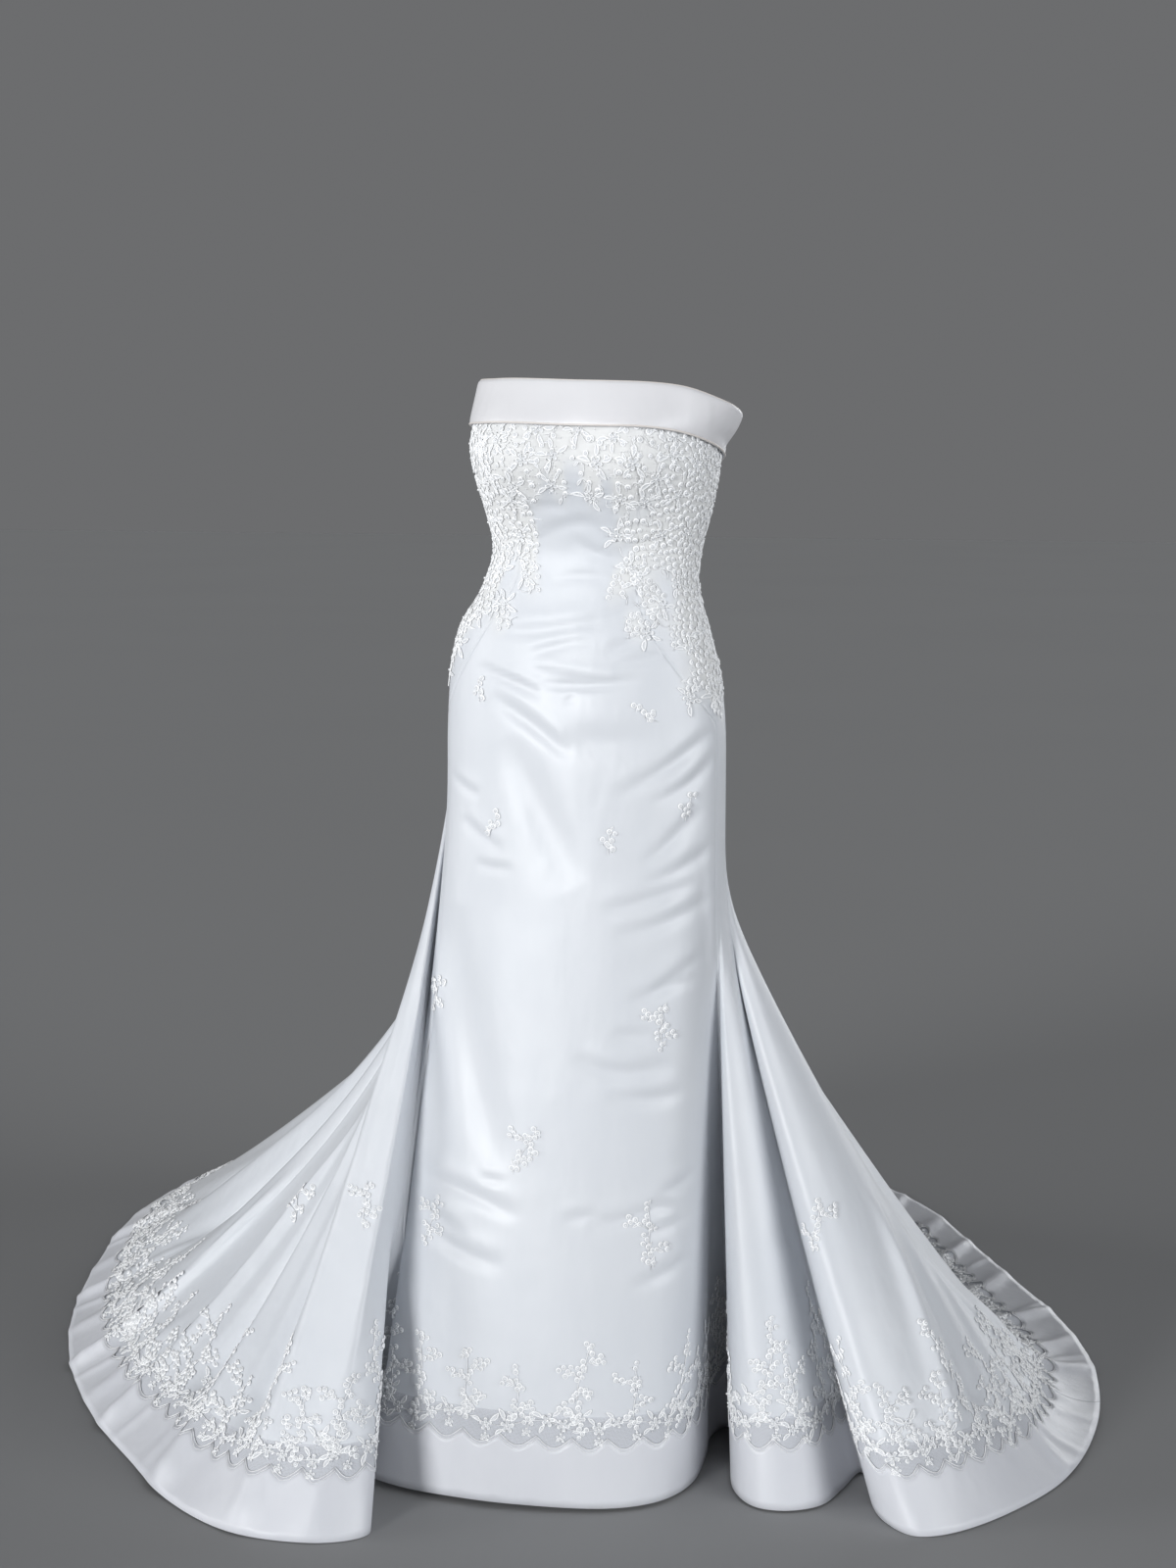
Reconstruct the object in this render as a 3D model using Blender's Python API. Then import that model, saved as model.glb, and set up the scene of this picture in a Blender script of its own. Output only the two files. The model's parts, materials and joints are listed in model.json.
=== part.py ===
"""Strapless satin wedding dress with a chapel train, hollow as worn.

Metres, +Z up. The origin is inside the middle of the waist, +X is the wearer's left and +Y the back.
Every cloth piece is a thin closed wall. Bodice rows are rings of the figure, skirt rows are read from
ribs that run from the hip ring down to the hem, and what lies on a panel is read from that panel's facets.
"""

import math

import bpy
import numpy as np
from mathutils import Matrix, Vector
from mathutils.bvhtree import BVHTree

# ---- driving sizes ----
FLOOR = -1.156
HIP = -0.215
LAST_RING = -0.190
WALL = 0.002
SEAM = 0.0003
BAND_DEPTH = 0.080
SHEER_DEPTH = 0.030
BORDER_DEPTH = 0.180
SPRIG_DEPTH = 0.300
SCALLOP_PITCH = 0.0445
LACE_WALL = 0.0012
LACE_GAP = 0.00098
SPRIG_GAP = 0.0004
FIGURE_ROUNDNESS = 2.25
CUFF_STANDS = 0.004
CLEAR_OF_FLOOR = 0.0015
RIB_COUNT = 1500
RIB_SAMPLES = 96
FALL_STEPS = 60
FLOOR_STEPS = 20
SOFTEN_ROUNDS = 30

# Rings of the fitted part: height, middle x, middle y, half width, front depth, back depth
RINGS = (
    (0.205, 0.021, 0.000, 0.147, 0.094, 0.090),
    (0.152, 0.016, 0.000, 0.150, 0.103, 0.098),
    (0.125, 0.011, 0.000, 0.149, 0.106, 0.101),
    (0.094, 0.012, 0.000, 0.146, 0.104, 0.099),
    (0.047, 0.014, 0.000, 0.135, 0.092, 0.088),
    (0.000, 0.012, 0.000, 0.125, 0.083, 0.081),
    (-0.047, 0.004, 0.000, 0.131, 0.087, 0.088),
    (-0.095, -0.004, 0.000, 0.152, 0.094, 0.104),
    (-0.150, -0.004, 0.000, 0.165, 0.099, 0.118),
    (-0.215, -0.003, 0.000, 0.171, 0.103, 0.125),
)
CUP = {"side": 0.072, "height": 0.108, "rise": 0.020, "radius": 0.055, "spread": 0.15}

# Neckline: degrees from the front towards the wearer's left, height
NECKLINE = (
    (-180, 0.135),
    (-135, 0.150),
    (-92, 0.194),
    (-45, 0.200),
    (0, 0.197),
    (45, 0.191),
    (80, 0.173),
    (100, 0.160),
    (135, 0.145),
    (180, 0.135),
)

# Seams of the fitted part: height, princess seam, side back seam, in degrees from the front
SEAMS = (
    (0.205, 34, 106),
    (0.100, 30, 104),
    (0.000, 31, 106),
    (-0.087, 38, 110),
    (-0.159, 58, 113),
    (-0.205, 79.5, 114),
)

# Ribs of the skirt, in order round the hem from the front centre by the wearer's left:
# hem x, hem y, degrees on the hip ring, height where the rib leaves the figure,
# power of its sweep, share of the way at which it meets the floor, lift of the hem
HEM = (
    (-0.047, -0.171, 0, -0.22, 1.4, 1.00, 0.010),
    (0.059, -0.150, 28, -0.22, 1.4, 1.00, 0.008),
    (0.120, -0.112, 48, -0.23, 1.3, 1.00, 0.008),
    (0.147, -0.050, 60, -0.28, 1.2, 1.00, 0.008),
    (0.146, 0.030, 70, -0.38, 1.1, 1.00, 0.010),
    (0.140, 0.085, 76, -0.43, 1.1, 1.00, 0.012),
    (0.157, 0.118, 79.5, -0.43, 1.1, 1.00, 0.013),
    (0.178, 0.082, 83, -0.43, 1.1, 1.00, 0.011),
    (0.186, 0.015, 86, -0.43, 1.1, 1.00, 0.008),
    (0.203, -0.050, 88, -0.43, 1.1, 1.00, 0.007),
    (0.235, -0.088, 90, -0.43, 1.1, 1.00, 0.006),
    (0.275, -0.090, 92, -0.43, 1.1, 1.00, 0.006),
    (0.312, -0.064, 94, -0.43, 1.1, 1.00, 0.006),
    (0.328, -0.015, 95.5, -0.43, 1.1, 1.00, 0.006),
    (0.342, 0.042, 97, -0.43, 1.1, 1.00, 0.006),
    (0.362, 0.024, 98.5, -0.43, 1.1, 1.00, 0.005),
    (0.372, -0.036, 100, -0.43, 1.1, 1.00, 0.005),
    (0.396, -0.084, 101.2, -0.43, 1.1, 1.00, 0.005),
    (0.437, -0.110, 102.5, -0.43, 1.08, 0.99, 0.004),
    (0.487, -0.080, 104, -0.42, 1.08, 0.98, 0.004),
    (0.545, -0.002, 106, -0.42, 1.08, 0.97, 0.004),
    (0.590, 0.090, 108, -0.42, 1.1, 0.94, 0.004),
    (0.614, 0.210, 111, -0.42, 1.20, 0.91, 0.004),
    (0.617, 0.345, 114, -0.42, 1.32, 0.88, 0.004),
    (0.595, 0.490, 118, -0.40, 1.5, 0.86, 0.004),
    (0.540, 0.640, 123, -0.37, 1.6, 0.82, 0.004),
    (0.455, 0.795, 129, -0.34, 1.6, 0.79, 0.004),
    (0.372, 0.945, 136, -0.30, 1.65, 0.78, 0.004),
    (0.285, 1.095, 144, -0.27, 1.7, 0.79, 0.004),
    (0.170, 1.212, 152, -0.25, 1.7, 0.80, 0.004),
    (0.030, 1.290, 160, -0.24, 1.7, 0.80, 0.004),
    (-0.140, 1.335, 168, -0.24, 1.7, 0.80, 0.004),
    (-0.320, 1.340, 176, -0.24, 1.7, 0.80, 0.004),
    (-0.490, 1.302, 184, -0.26, 1.7, 0.82, 0.004),
    (-0.660, 1.225, 192, -0.27, 1.7, 0.86, 0.004),
    (-0.815, 1.110, 200, -0.28, 1.7, 0.92, 0.004),
    (-0.930, 0.965, 208, -0.29, 1.7, 0.98, 0.004),
    (-0.985, 0.810, 215, -0.30, 1.72, 1.00, 0.004),
    (-0.980, 0.650, 222, -0.30, 1.78, 1.00, 0.004),
    (-0.943, 0.495, 229, -0.30, 1.82, 1.00, 0.004),
    (-0.897, 0.340, 236, -0.30, 1.88, 0.99, 0.004),
    (-0.838, 0.195, 242, -0.28, 1.95, 0.98, 0.004),
    (-0.760, 0.060, 247, -0.26, 2.0, 0.98, 0.004),
    (-0.655, -0.075, 251.5, -0.25, 2.0, 0.98, 0.004),
    (-0.550, -0.180, 255, -0.25, 1.95, 0.98, 0.004),
    (-0.450, -0.272, 258.5, -0.24, 1.7, 0.98, 0.004),
    (-0.345, -0.325, 261.5, -0.22, 1.35, 0.99, 0.004),
    (-0.240, -0.322, 264, -0.22, 1.2, 1.00, 0.004),
    (-0.190, -0.283, 266, -0.22, 1.2, 1.00, 0.004),
    (-0.235, -0.225, 268.5, -0.25, 1.2, 1.00, 0.006),
    (-0.305, -0.165, 271.5, -0.30, 1.25, 1.00, 0.008),
    (-0.318, -0.085, 275, -0.30, 1.25, 1.00, 0.010),
    (-0.250, -0.035, 278.5, -0.30, 1.25, 1.00, 0.012),
    (-0.178, -0.062, 282, -0.30, 1.25, 1.00, 0.014),
    (-0.196, -0.112, 286.5, -0.30, 1.25, 1.00, 0.014),
    (-0.236, -0.150, 292, -0.30, 1.25, 1.00, 0.014),
    (-0.194, -0.167, 301, -0.27, 1.3, 1.00, 0.012),
    (-0.130, -0.173, 323, -0.23, 1.4, 1.00, 0.011),
)

# The deep fold beside the front panel: hip degrees of its two ends and of its outer edge, the share
# of the way across that the edge stands at while the fold is closed, and the height where it opens
TUCK = {"first": 264, "edge": 266, "last": 292, "edge_share": 0.50, "opens": -0.84}

# Large folds that run down the skirt: metres round the hem from the front centre, depth outwards,
# half width at the hem, share of the rib where each starts, is full and ends
FOLDS = (
    (1.50, -0.018, 0.060, 0.10, 0.55, 1.00),
    (1.72, 0.020, 0.070, 0.10, 0.50, 0.95),
    (1.98, -0.020, 0.070, 0.10, 0.55, 0.95),
    (2.24, 0.018, 0.070, 0.12, 0.50, 0.92),
    (2.52, -0.022, 0.080, 0.10, 0.50, 0.92),
    (2.84, 0.022, 0.085, 0.10, 0.50, 0.92),
    (3.14, -0.020, 0.080, 0.10, 0.50, 0.92),
    (3.44, 0.020, 0.080, 0.10, 0.50, 0.92),
    (3.74, -0.022, 0.080, 0.10, 0.55, 0.95),
    (3.98, 0.016, 0.060, 0.10, 0.55, 0.97),
    (4.35, 0.016, 0.300, 0.00, 0.22, 0.55),
    (4.18, -0.028, 0.050, 0.12, 0.60, 0.98),
    (4.33, 0.018, 0.050, 0.12, 0.60, 0.98),
    (4.47, -0.030, 0.045, 0.12, 0.60, 0.99),
    (4.66, 0.016, 0.070, 0.10, 0.60, 0.99),
)

# Panels in order round the figure: the seam at each side, as its column in SEAMS and 1 for the wearer's
# left or -1 for the right, or 0 and its degrees for the centre back; columns of the fitted part and of
# the upper skirt
PANELS = (
    {"name": "front_centre", "first": (1, -1), "last": (1, 1), "ring_columns": 12, "skirt_columns": 18},
    {"name": "side_left", "first": (1, 1), "last": (2, 1), "ring_columns": 7, "skirt_columns": 18},
    {"name": "back_left", "first": (2, 1), "last": (0, 180), "ring_columns": 7, "skirt_columns": 9},
    {"name": "back_right", "first": (0, 180), "last": (2, -1), "ring_columns": 7, "skirt_columns": 9},
    {"name": "side_right", "first": (2, -1), "last": (1, -1), "ring_columns": 7, "skirt_columns": 22},
)
RING_ROWS = 12
UPPER_SKIRT_ROWS = 6

COLOURS = {
    "satin": (0.86, 0.87, 0.90),
    "cuff": (0.88, 0.87, 0.88),
    "sheer": (0.70, 0.73, 0.78),
    "lace": (0.90, 0.90, 0.89),
    "zip": (0.85, 0.85, 0.86),
    "metal": (0.72, 0.72, 0.74),
}


def clear_scene():
    for old in list(bpy.data.objects):
        bpy.data.objects.remove(old, do_unlink=True)


def material(name, kind):
    made = bpy.data.materials.new(name)
    made.use_nodes = True
    shader = made.node_tree.nodes["Principled BSDF"]
    shader.inputs["Base Color"].default_value = (*COLOURS[kind], 1.0)
    shader.inputs["Roughness"].default_value = 0.3 if kind == "metal" else 0.55
    shader.inputs["Metallic"].default_value = 1.0 if kind == "metal" else 0.0
    return made


def add_object(name, vertices, faces, kind):
    mesh = bpy.data.meshes.new(name)
    mesh.from_pydata([tuple(v) for v in vertices], [], faces)
    mesh.update()
    made = bpy.data.objects.new(name, mesh)
    dress.objects.link(made)
    mesh.materials.append(material(name + "_finish", kind))
    mesh.shade_smooth()
    mesh.set_sharp_from_angle(angle=math.radians(50))
    return made


# ---- smooth curves through table rows ----
def cubic(rows, knots, at):
    """Catmull-Rom through rows at knots, with the end rows repeated."""
    rows = np.asarray(rows, float)
    knots = np.asarray(knots, float)
    at = np.clip(np.atleast_1d(at), knots[0], knots[-1])
    i = np.clip(np.searchsorted(knots, at, side="right") - 1, 0, len(knots) - 2)
    span = knots[i + 1] - knots[i]
    t = ((at - knots[i]) / span)[:, None]
    before = np.maximum(i - 1, 0)
    after = np.minimum(i + 2, len(knots) - 1)
    lead = (rows[i + 1] - rows[before]) / (knots[i + 1] - knots[before])[:, None]
    trail = (rows[after] - rows[i]) / (knots[after] - knots[i])[:, None]
    s = span[:, None]
    h0 = 2 * t**3 - 3 * t**2 + 1
    h1 = t**3 - 2 * t**2 + t
    h2 = -2 * t**3 + 3 * t**2
    h3 = t**3 - t**2
    return h0 * rows[i] + h1 * s * lead + h2 * rows[i + 1] + h3 * s * trail


def ease(x):
    x = np.clip(x, 0.0, 1.0)
    return x * x * (3 - 2 * x)


# ---- the figure: rings from the neckline to the hip ----
def figure_points(degrees, height):
    rings = np.array(RINGS)[::-1]
    mid_x, mid_y, half, front, back = cubic(rings[:, 1:], rings[:, 0], height).T
    turn = np.radians(degrees)
    side = np.sin(turn)
    ahead = np.cos(turn)
    power = 2.0 / FIGURE_ROUNDNESS
    across = half * np.sign(side) * np.abs(side) ** power
    depth = np.where(ahead > 0, front, back)
    along = -depth * np.sign(ahead) * np.abs(ahead) ** power
    for sign in (-1, 1):
        off = (across - sign * CUP["side"]) ** 2 + (height - CUP["height"]) ** 2
        bump = CUP["rise"] * np.exp(-off / CUP["radius"] ** 2) * (ahead > 0)
        along = along - bump
        across = across + sign * bump * CUP["spread"]
    return np.stack([mid_x + across, mid_y + along, height + 0 * across], axis=1)


def figure_normals(degrees, height):
    turn, drop = 1.5, 0.004
    turn_step = figure_points(degrees + turn, height) - figure_points(degrees - turn, height)
    drop_step = figure_points(degrees, height - drop) - figure_points(degrees, height + drop)
    return unit(np.cross(drop_step, turn_step))


def neckline(degrees):
    rows = np.array(NECKLINE)
    turned = (np.asarray(degrees) + 180.0) % 360.0 - 180.0
    return cubic(rows[:, 1:], rows[:, 0], turned)[:, 0]


def seam_degrees(end, height):
    column, value = end
    if column == 0:
        return np.full_like(np.atleast_1d(height), float(value))
    rows = np.array(SEAMS)[::-1]
    found = cubic(rows[:, 1:], rows[:, 0], height)[:, column - 1]
    return found * value


# ---- the skirt: a lattice of ribs from the hip ring to the hem ----
def hem_rows():
    """Table values for evenly spaced ribs, and the length of the hem."""
    table = np.array(HEM)
    extra = 3
    turned = np.vstack([table[-extra:], table, table[:extra]])
    turned[:extra, 2] -= 360
    turned[-extra:, 2] += 360
    steps = np.linalg.norm(np.diff(turned[:, :2], axis=0), axis=1)
    knots = np.concatenate([[0], np.cumsum(np.sqrt(steps))])
    dense = cubic(turned, knots, np.linspace(knots[extra], knots[-extra], 4 * RIB_COUNT))
    run = np.concatenate([[0], np.cumsum(np.linalg.norm(np.diff(dense[:, :2], axis=0), axis=1))])
    at = np.linspace(0, run[-1], RIB_COUNT, endpoint=False)
    rows = np.stack([np.interp(at, run, dense[:, k]) for k in range(dense.shape[1])], axis=1)
    return rows, run[-1]


def closed_hem(rows):
    """Where each rib would reach the hem if the deep fold beside the front panel stayed closed."""
    first, last = (int(np.interp(TUCK[end], rows[:, 2], np.arange(RIB_COUNT))) for end in ("first", "last"))
    degrees = (TUCK["first"], TUCK["edge"], TUCK["last"])
    share = np.interp(rows[first:last, 2], degrees, (0, TUCK["edge_share"], 1))[:, None]
    closed = rows[:, :2].copy()
    closed[first:last] = rows[first, :2] * (1 - share) + rows[last, :2] * share
    return closed


def rib_line(row, closed):
    """One rib from the hip ring down the figure, out to the floor and along it to the hem."""
    x, y, degrees, leave, power, touch, lift = row
    hip = figure_points(np.array([degrees]), np.array([HIP]))[0]
    low = FLOOR + lift
    height = np.linspace(HIP, low, FALL_STEPS)
    share = np.clip((leave - height) / (leave - low), 0, 1) ** power * touch
    share = np.concatenate([share, np.linspace(touch, 1.0, FLOOR_STEPS)[1:]])
    height = np.concatenate([height, np.full(FLOOR_STEPS - 1, low)])
    opened = np.clip((TUCK["opens"] - height) / (TUCK["opens"] - low), 0, 1)
    across = hip[0] + (closed[0] - hip[0]) * share + (x - closed[0]) * opened
    along = hip[1] + (closed[1] - hip[1]) * share + (y - closed[1]) * opened
    return even_line(np.stack([across, along, height], axis=1))


def even_line(line):
    run = np.concatenate([[0], np.cumsum(np.linalg.norm(np.diff(line, axis=0), axis=1))])
    at = np.linspace(0, run[-1], RIB_SAMPLES)
    return np.stack([np.interp(at, run, line[:, k]) for k in range(3)], axis=1)


def soften(lattice, rounds):
    for _ in range(rounds):
        lattice[:, 1:-1] = (lattice[:, :-2] + 2 * lattice[:, 1:-1] + lattice[:, 2:]) / 4
    return lattice


def lattice_normals(lattice):
    round_step = np.roll(lattice, -1, axis=0) - np.roll(lattice, 1, axis=0)
    drop_step = np.gradient(lattice, axis=1)
    return unit(np.cross(drop_step, round_step))


def add_folds(lattice, hem_length):
    normals = lattice_normals(lattice)
    at = np.arange(RIB_COUNT) / RIB_COUNT * hem_length
    share = np.linspace(0, 1, RIB_SAMPLES)
    for place, depth, width, start, full, end in FOLDS:
        across = np.exp(-(((at - place) / width) ** 2))
        along = ease((share - start) / (full - start)) * (1 - ease((share - full) / (end - full)))
        lattice = lattice + normals * (depth * across[:, None] * along[None, :])[:, :, None]
    lattice[:, :, 2] = np.maximum(lattice[:, :, 2], FLOOR + CLEAR_OF_FLOOR)
    return lattice


def build_skirt():
    rows, hem_length = hem_rows()
    lattice = np.array([rib_line(row, closed) for row, closed in zip(rows, closed_hem(rows))])
    lattice = add_folds(soften(lattice, SOFTEN_ROUNDS), hem_length)
    steps = np.linalg.norm(np.diff(lattice, axis=1), axis=2)
    from_hem = np.cumsum(steps[:, ::-1], axis=1)[:, ::-1]
    from_hem = np.concatenate([from_hem, np.zeros((RIB_COUNT, 1))], axis=1)
    return {
        "points": lattice,
        "from_hem": from_hem,
        "hip_degrees": rows[:, 2],
        "length": hem_length,
    }


def read_skirt(place, distance):
    """Points at places round the hem, each at its distance up the rib from the hem."""
    steps = np.asarray(place) / skirt["length"] * RIB_COUNT
    base = np.floor(steps).astype(int)
    part = (steps - base)[:, None]
    sides = []
    for offset in (0, 1):
        values = []
        for rib, d in zip((base + offset) % RIB_COUNT, distance):
            run = skirt["from_hem"][rib][::-1]
            line = skirt["points"][rib][::-1]
            values.append([np.interp(d, run, line[:, k]) for k in range(3)])
        sides.append(np.array(values))
    return sides[0] * (1 - part) + sides[1] * part


def skirt_down(place, distance):
    """Direction down the cloth, towards the hem."""
    step = 0.003
    return read_skirt(place, np.maximum(distance - step, 0)) - read_skirt(place, distance + step)


def rib_length(place):
    at = np.arange(RIB_COUNT) / RIB_COUNT * skirt["length"]
    return np.interp(place, at, skirt["from_hem"][:, 0], period=skirt["length"])


def hem_place(degrees):
    """Metres round the hem of the rib that starts at these degrees on the hip ring."""
    at = np.arange(RIB_COUNT) / RIB_COUNT * skirt["length"]
    return float(np.interp(degrees % 360, skirt["hip_degrees"], at))


# ---- rows of the panels, each a run of points with normals ----
def unit(vectors):
    return vectors / np.linalg.norm(vectors, axis=-1)[..., None]


def run_direction(points):
    return unit(np.gradient(points, axis=0))


def raise_row(row, amount):
    """The row moved up the cloth, square to itself."""
    points, normals = row
    return points + np.cross(normals, run_direction(points)) * amount, normals


def trim_sides(rows):
    """Rows with their end points pulled in by half a seam, square to the side edge."""
    trimmed = [(points.copy(), normals) for points, normals in rows]
    for end, sign in ((0, -1), (-1, 1)):
        edge = np.array([points[end] for points, _ in rows])
        normals = np.array([normal[end] for _, normal in rows])
        inward = np.cross(run_direction(edge), normals) * sign
        for (points, _), step in zip(trimmed, inward):
            points[end] += step * SEAM / 2
    return trimmed


def rows_all_round(parts):
    """Normals for one row of every panel, square to the facets on both sides of each point and seam."""
    rows = []
    for number, (points, down) in enumerate(parts):
        before = parts[number - 1][0][-2]
        after = parts[(number + 1) % len(parts)][0][1]
        steps = unit(np.diff(np.vstack([before, points, after]), axis=0))
        rows.append((points, unit(np.cross(down, steps[:-1] + steps[1:]))))
    return rows


def ring_row(panel, share):
    """Row of the fitted part, share 0 at the neckline and 1 at the last ring."""
    count = panel["ring_columns"] + 1
    typical_top = 0.15
    height = np.full(count, typical_top * (1 - share) + LAST_RING * share)
    for _ in range(3):
        first = seam_degrees(panel["first"], height[:1])[0]
        last = seam_degrees(panel["last"], height[-1:])[0]
        if last < first:
            last += 360
        degrees = np.linspace(first, last, count)
        top = neckline(degrees) - CUFF_STANDS
        height = top * (1 - share) + LAST_RING * share
    return figure_points(degrees, height), figure_normals(degrees, height), degrees


def skirt_part(place, distance):
    return read_skirt(place, distance), skirt_down(place, distance)


def even_places(panel, columns, distance_of):
    """Places round the hem whose points divide a panel's row into even lengths of cloth."""
    samples = 300
    place = np.linspace(panel["hem_first"], panel["hem_last"], samples)
    steps = np.linalg.norm(np.diff(read_skirt(place, distance_of(place)), axis=0), axis=1)
    run = np.concatenate([[0], np.cumsum(steps)])
    return np.interp(np.linspace(0, run[-1], columns + 1), run, place)


def hem_row(distance):
    """The row of every panel at this distance up from the hem, a column to each scallop."""
    parts = []
    for panel in PANELS:
        place = np.linspace(panel["hem_first"], panel["hem_last"], panel["hem_columns"] + 1)
        parts.append(skirt_part(place, np.full(len(place), distance)))
    return rows_all_round(parts)


def upper_row(share):
    """The row of every panel at this share of the way from the hip to the tops of the sprigs."""

    def distance_of(place):
        return rib_length(place) * (1 - share) + SPRIG_DEPTH * share

    parts = []
    for panel in PANELS:
        place = even_places(panel, panel["skirt_columns"], distance_of)
        parts.append(skirt_part(place, distance_of(place)))
    return rows_all_round(parts)


def all_panel_rows():
    """For each panel, its rows from the neckline down to the edge of the satin."""
    fitted = [[ring_row(panel, j / RING_ROWS)[:2] for panel in PANELS] for j in range(RING_ROWS + 1)]
    upper = [upper_row(j / UPPER_SKIRT_ROWS) for j in range(UPPER_SKIRT_ROWS + 1)]
    edge = [raise_row(row, SEAM / 2) for row in hem_row(BAND_DEPTH + SHEER_DEPTH)]
    rows = fitted + upper + [hem_row(BORDER_DEPTH), edge]
    return [trim_sides(list(panel_rows)) for panel_rows in zip(*rows)]


# ---- closed walls from rows ----
def join_rows(upper, lower):
    """Triangles between two rows of vertex numbers, whose counts may differ."""
    faces = []
    i = j = 0
    while i < len(upper) - 1 or j < len(lower) - 1:
        next_upper = (i + 1) / (len(upper) - 1)
        next_lower = (j + 1) / (len(lower) - 1)
        if next_lower <= next_upper + 1e-9 and j < len(lower) - 1:
            faces.append((upper[i], lower[j], lower[j + 1]))
            j += 1
        else:
            faces.append((upper[i], lower[j], upper[i + 1]))
            i += 1
    return faces


def split_quad(quad, turned):
    """Two triangles, always on the same diagonal, so that the faces on each side of a seam agree."""
    a, b, c, d = quad
    return [(c, b, a), (d, c, a)] if turned else [(a, b, c), (a, c, d)]


def wall_from_rows(name, rows, inner, outer, kind):
    """Closed wall between two offsets of the same rows. Offsets may differ from row to row."""
    vertices = []
    inside = []
    outside = []
    for number, (points, normals) in enumerate(rows):
        low = inner[number] if isinstance(inner, (list, tuple)) else inner
        high = outer[number] if isinstance(outer, (list, tuple)) else outer
        inside.append(list(range(len(vertices), len(vertices) + len(points))))
        vertices.extend(points + normals * low)
        outside.append(list(range(len(vertices), len(vertices) + len(points))))
        vertices.extend(points + normals * high)
    faces = []
    for j in range(len(rows) - 1):
        faces += join_rows(outside[j], outside[j + 1])
        faces += [face[::-1] for face in join_rows(inside[j], inside[j + 1])]
        for end, turned in ((0, False), (-1, True)):
            quad = (outside[j][end], inside[j][end], inside[j + 1][end], outside[j + 1][end])
            faces += split_quad(quad, turned)
    for j, turned in ((0, True), (-1, False)):
        for i in range(len(inside[j]) - 1):
            quad = (outside[j][i], inside[j][i], inside[j][i + 1], outside[j][i + 1])
            faces += split_quad(quad, turned)
    return add_object(name, vertices, faces, kind)


# ---- facets of a panel, for what lies on it ----
def facet_point(rows, row, column):
    """Point and normal on the facets between rows, at a row number and a column number with parts."""
    points = [r[0] for r in rows]
    normals = [r[1] for r in rows]
    j = min(max(int(math.floor(row + 1e-9)), 0), len(rows) - 2)
    i = min(max(int(math.floor(column + 1e-9)), 0), len(points[j]) - 2)
    down = row - j
    along = column - i
    if along <= down:
        weights = ((j, i, 1 - down), (j + 1, i, down - along), (j + 1, i + 1, along))
    else:
        weights = ((j, i, 1 - along), (j, i + 1, along - down), (j + 1, i + 1, down))
    point = sum(points[r][c] * w for r, c, w in weights)
    normal = sum(normals[r][c] * w for r, c, w in weights)
    return point, normal


class LaceSheet:
    """A thin wall of faces between named grid places, lying on a panel's facets, with gaps left open."""

    def __init__(self, rows):
        self.rows = rows
        self.places = {}
        self.vertices = []
        self.faces = []

    def vertex(self, row, column):
        key = (round(row, 5), round(column, 5))
        if key not in self.places:
            point, normal = facet_point(self.rows, row, column)
            self.places[key] = len(self.vertices)
            self.vertices.append((point, normal))
        return self.places[key]

    def face(self, *corners):
        """Corners as (row, column), anticlockwise seen from outside with rows going down."""
        self.faces.append(tuple(self.vertex(*corner) for corner in corners))

    def frame(self, row, column, inset):
        """One grid cell with a hole in its middle."""
        top, bottom = row, row + 1
        left, right = column, column + 1
        hole_top, hole_bottom = top + inset, bottom - inset
        hole_left, hole_right = left + inset, right - inset
        self.face((top, left), (bottom, left), (hole_bottom, hole_left), (hole_top, hole_left))
        self.face((hole_bottom, hole_left), (bottom, left), (bottom, right), (hole_bottom, hole_right))
        self.face((hole_top, hole_right), (hole_bottom, hole_right), (bottom, right), (top, right))
        self.face((top, left), (hole_top, hole_left), (hole_top, hole_right), (top, right))

    def cell(self, row, column):
        """One grid cell, or what is left of it below a row number with parts."""
        below = math.floor(row) + 1
        self.face((row, column), (below, column), (below, column + 1))
        self.face((row, column), (below, column + 1), (row, column + 1))

    def wall(self, name, gap=LACE_GAP, thickness=LACE_WALL):
        count = len(self.vertices)
        base = WALL + gap
        vertices = [p + n * (base + thickness) for p, n in self.vertices]
        vertices += [p + n * base for p, n in self.vertices]
        edges = {}
        for face in self.faces:
            for a, b in zip(face, face[1:] + face[:1]):
                edges[(a, b)] = True
        faces = list(self.faces) + [tuple(v + count for v in face[::-1]) for face in self.faces]
        for a, b in edges:
            if (b, a) not in edges:
                faces.append((b, a, a + count, b + count))
        return add_object(name, vertices, faces, "lace")


# ---- the pieces ----
def place_panels():
    for panel in PANELS:
        hip = [seam_degrees(end, np.array([SEAMS[-1][0]]))[0] for end in (panel["first"], panel["last"])]
        if hip[1] < hip[0]:
            hip[1] += 360
        ends = [hem_place(degrees) for degrees in hip]
        if ends[1] < ends[0]:
            ends[0] -= skirt["length"]
        panel["hip_degrees"] = hip
        panel["hem_first"], panel["hem_last"] = ends
        panel["hem_columns"] = int(round((ends[1] - ends[0]) / SCALLOP_PITCH))


def make_panels():
    for panel, rows in zip(PANELS, all_panel_rows()):
        panel["rows"] = rows
        wall_from_rows("panel_" + panel["name"], rows, 0.0, WALL, "satin")


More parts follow.
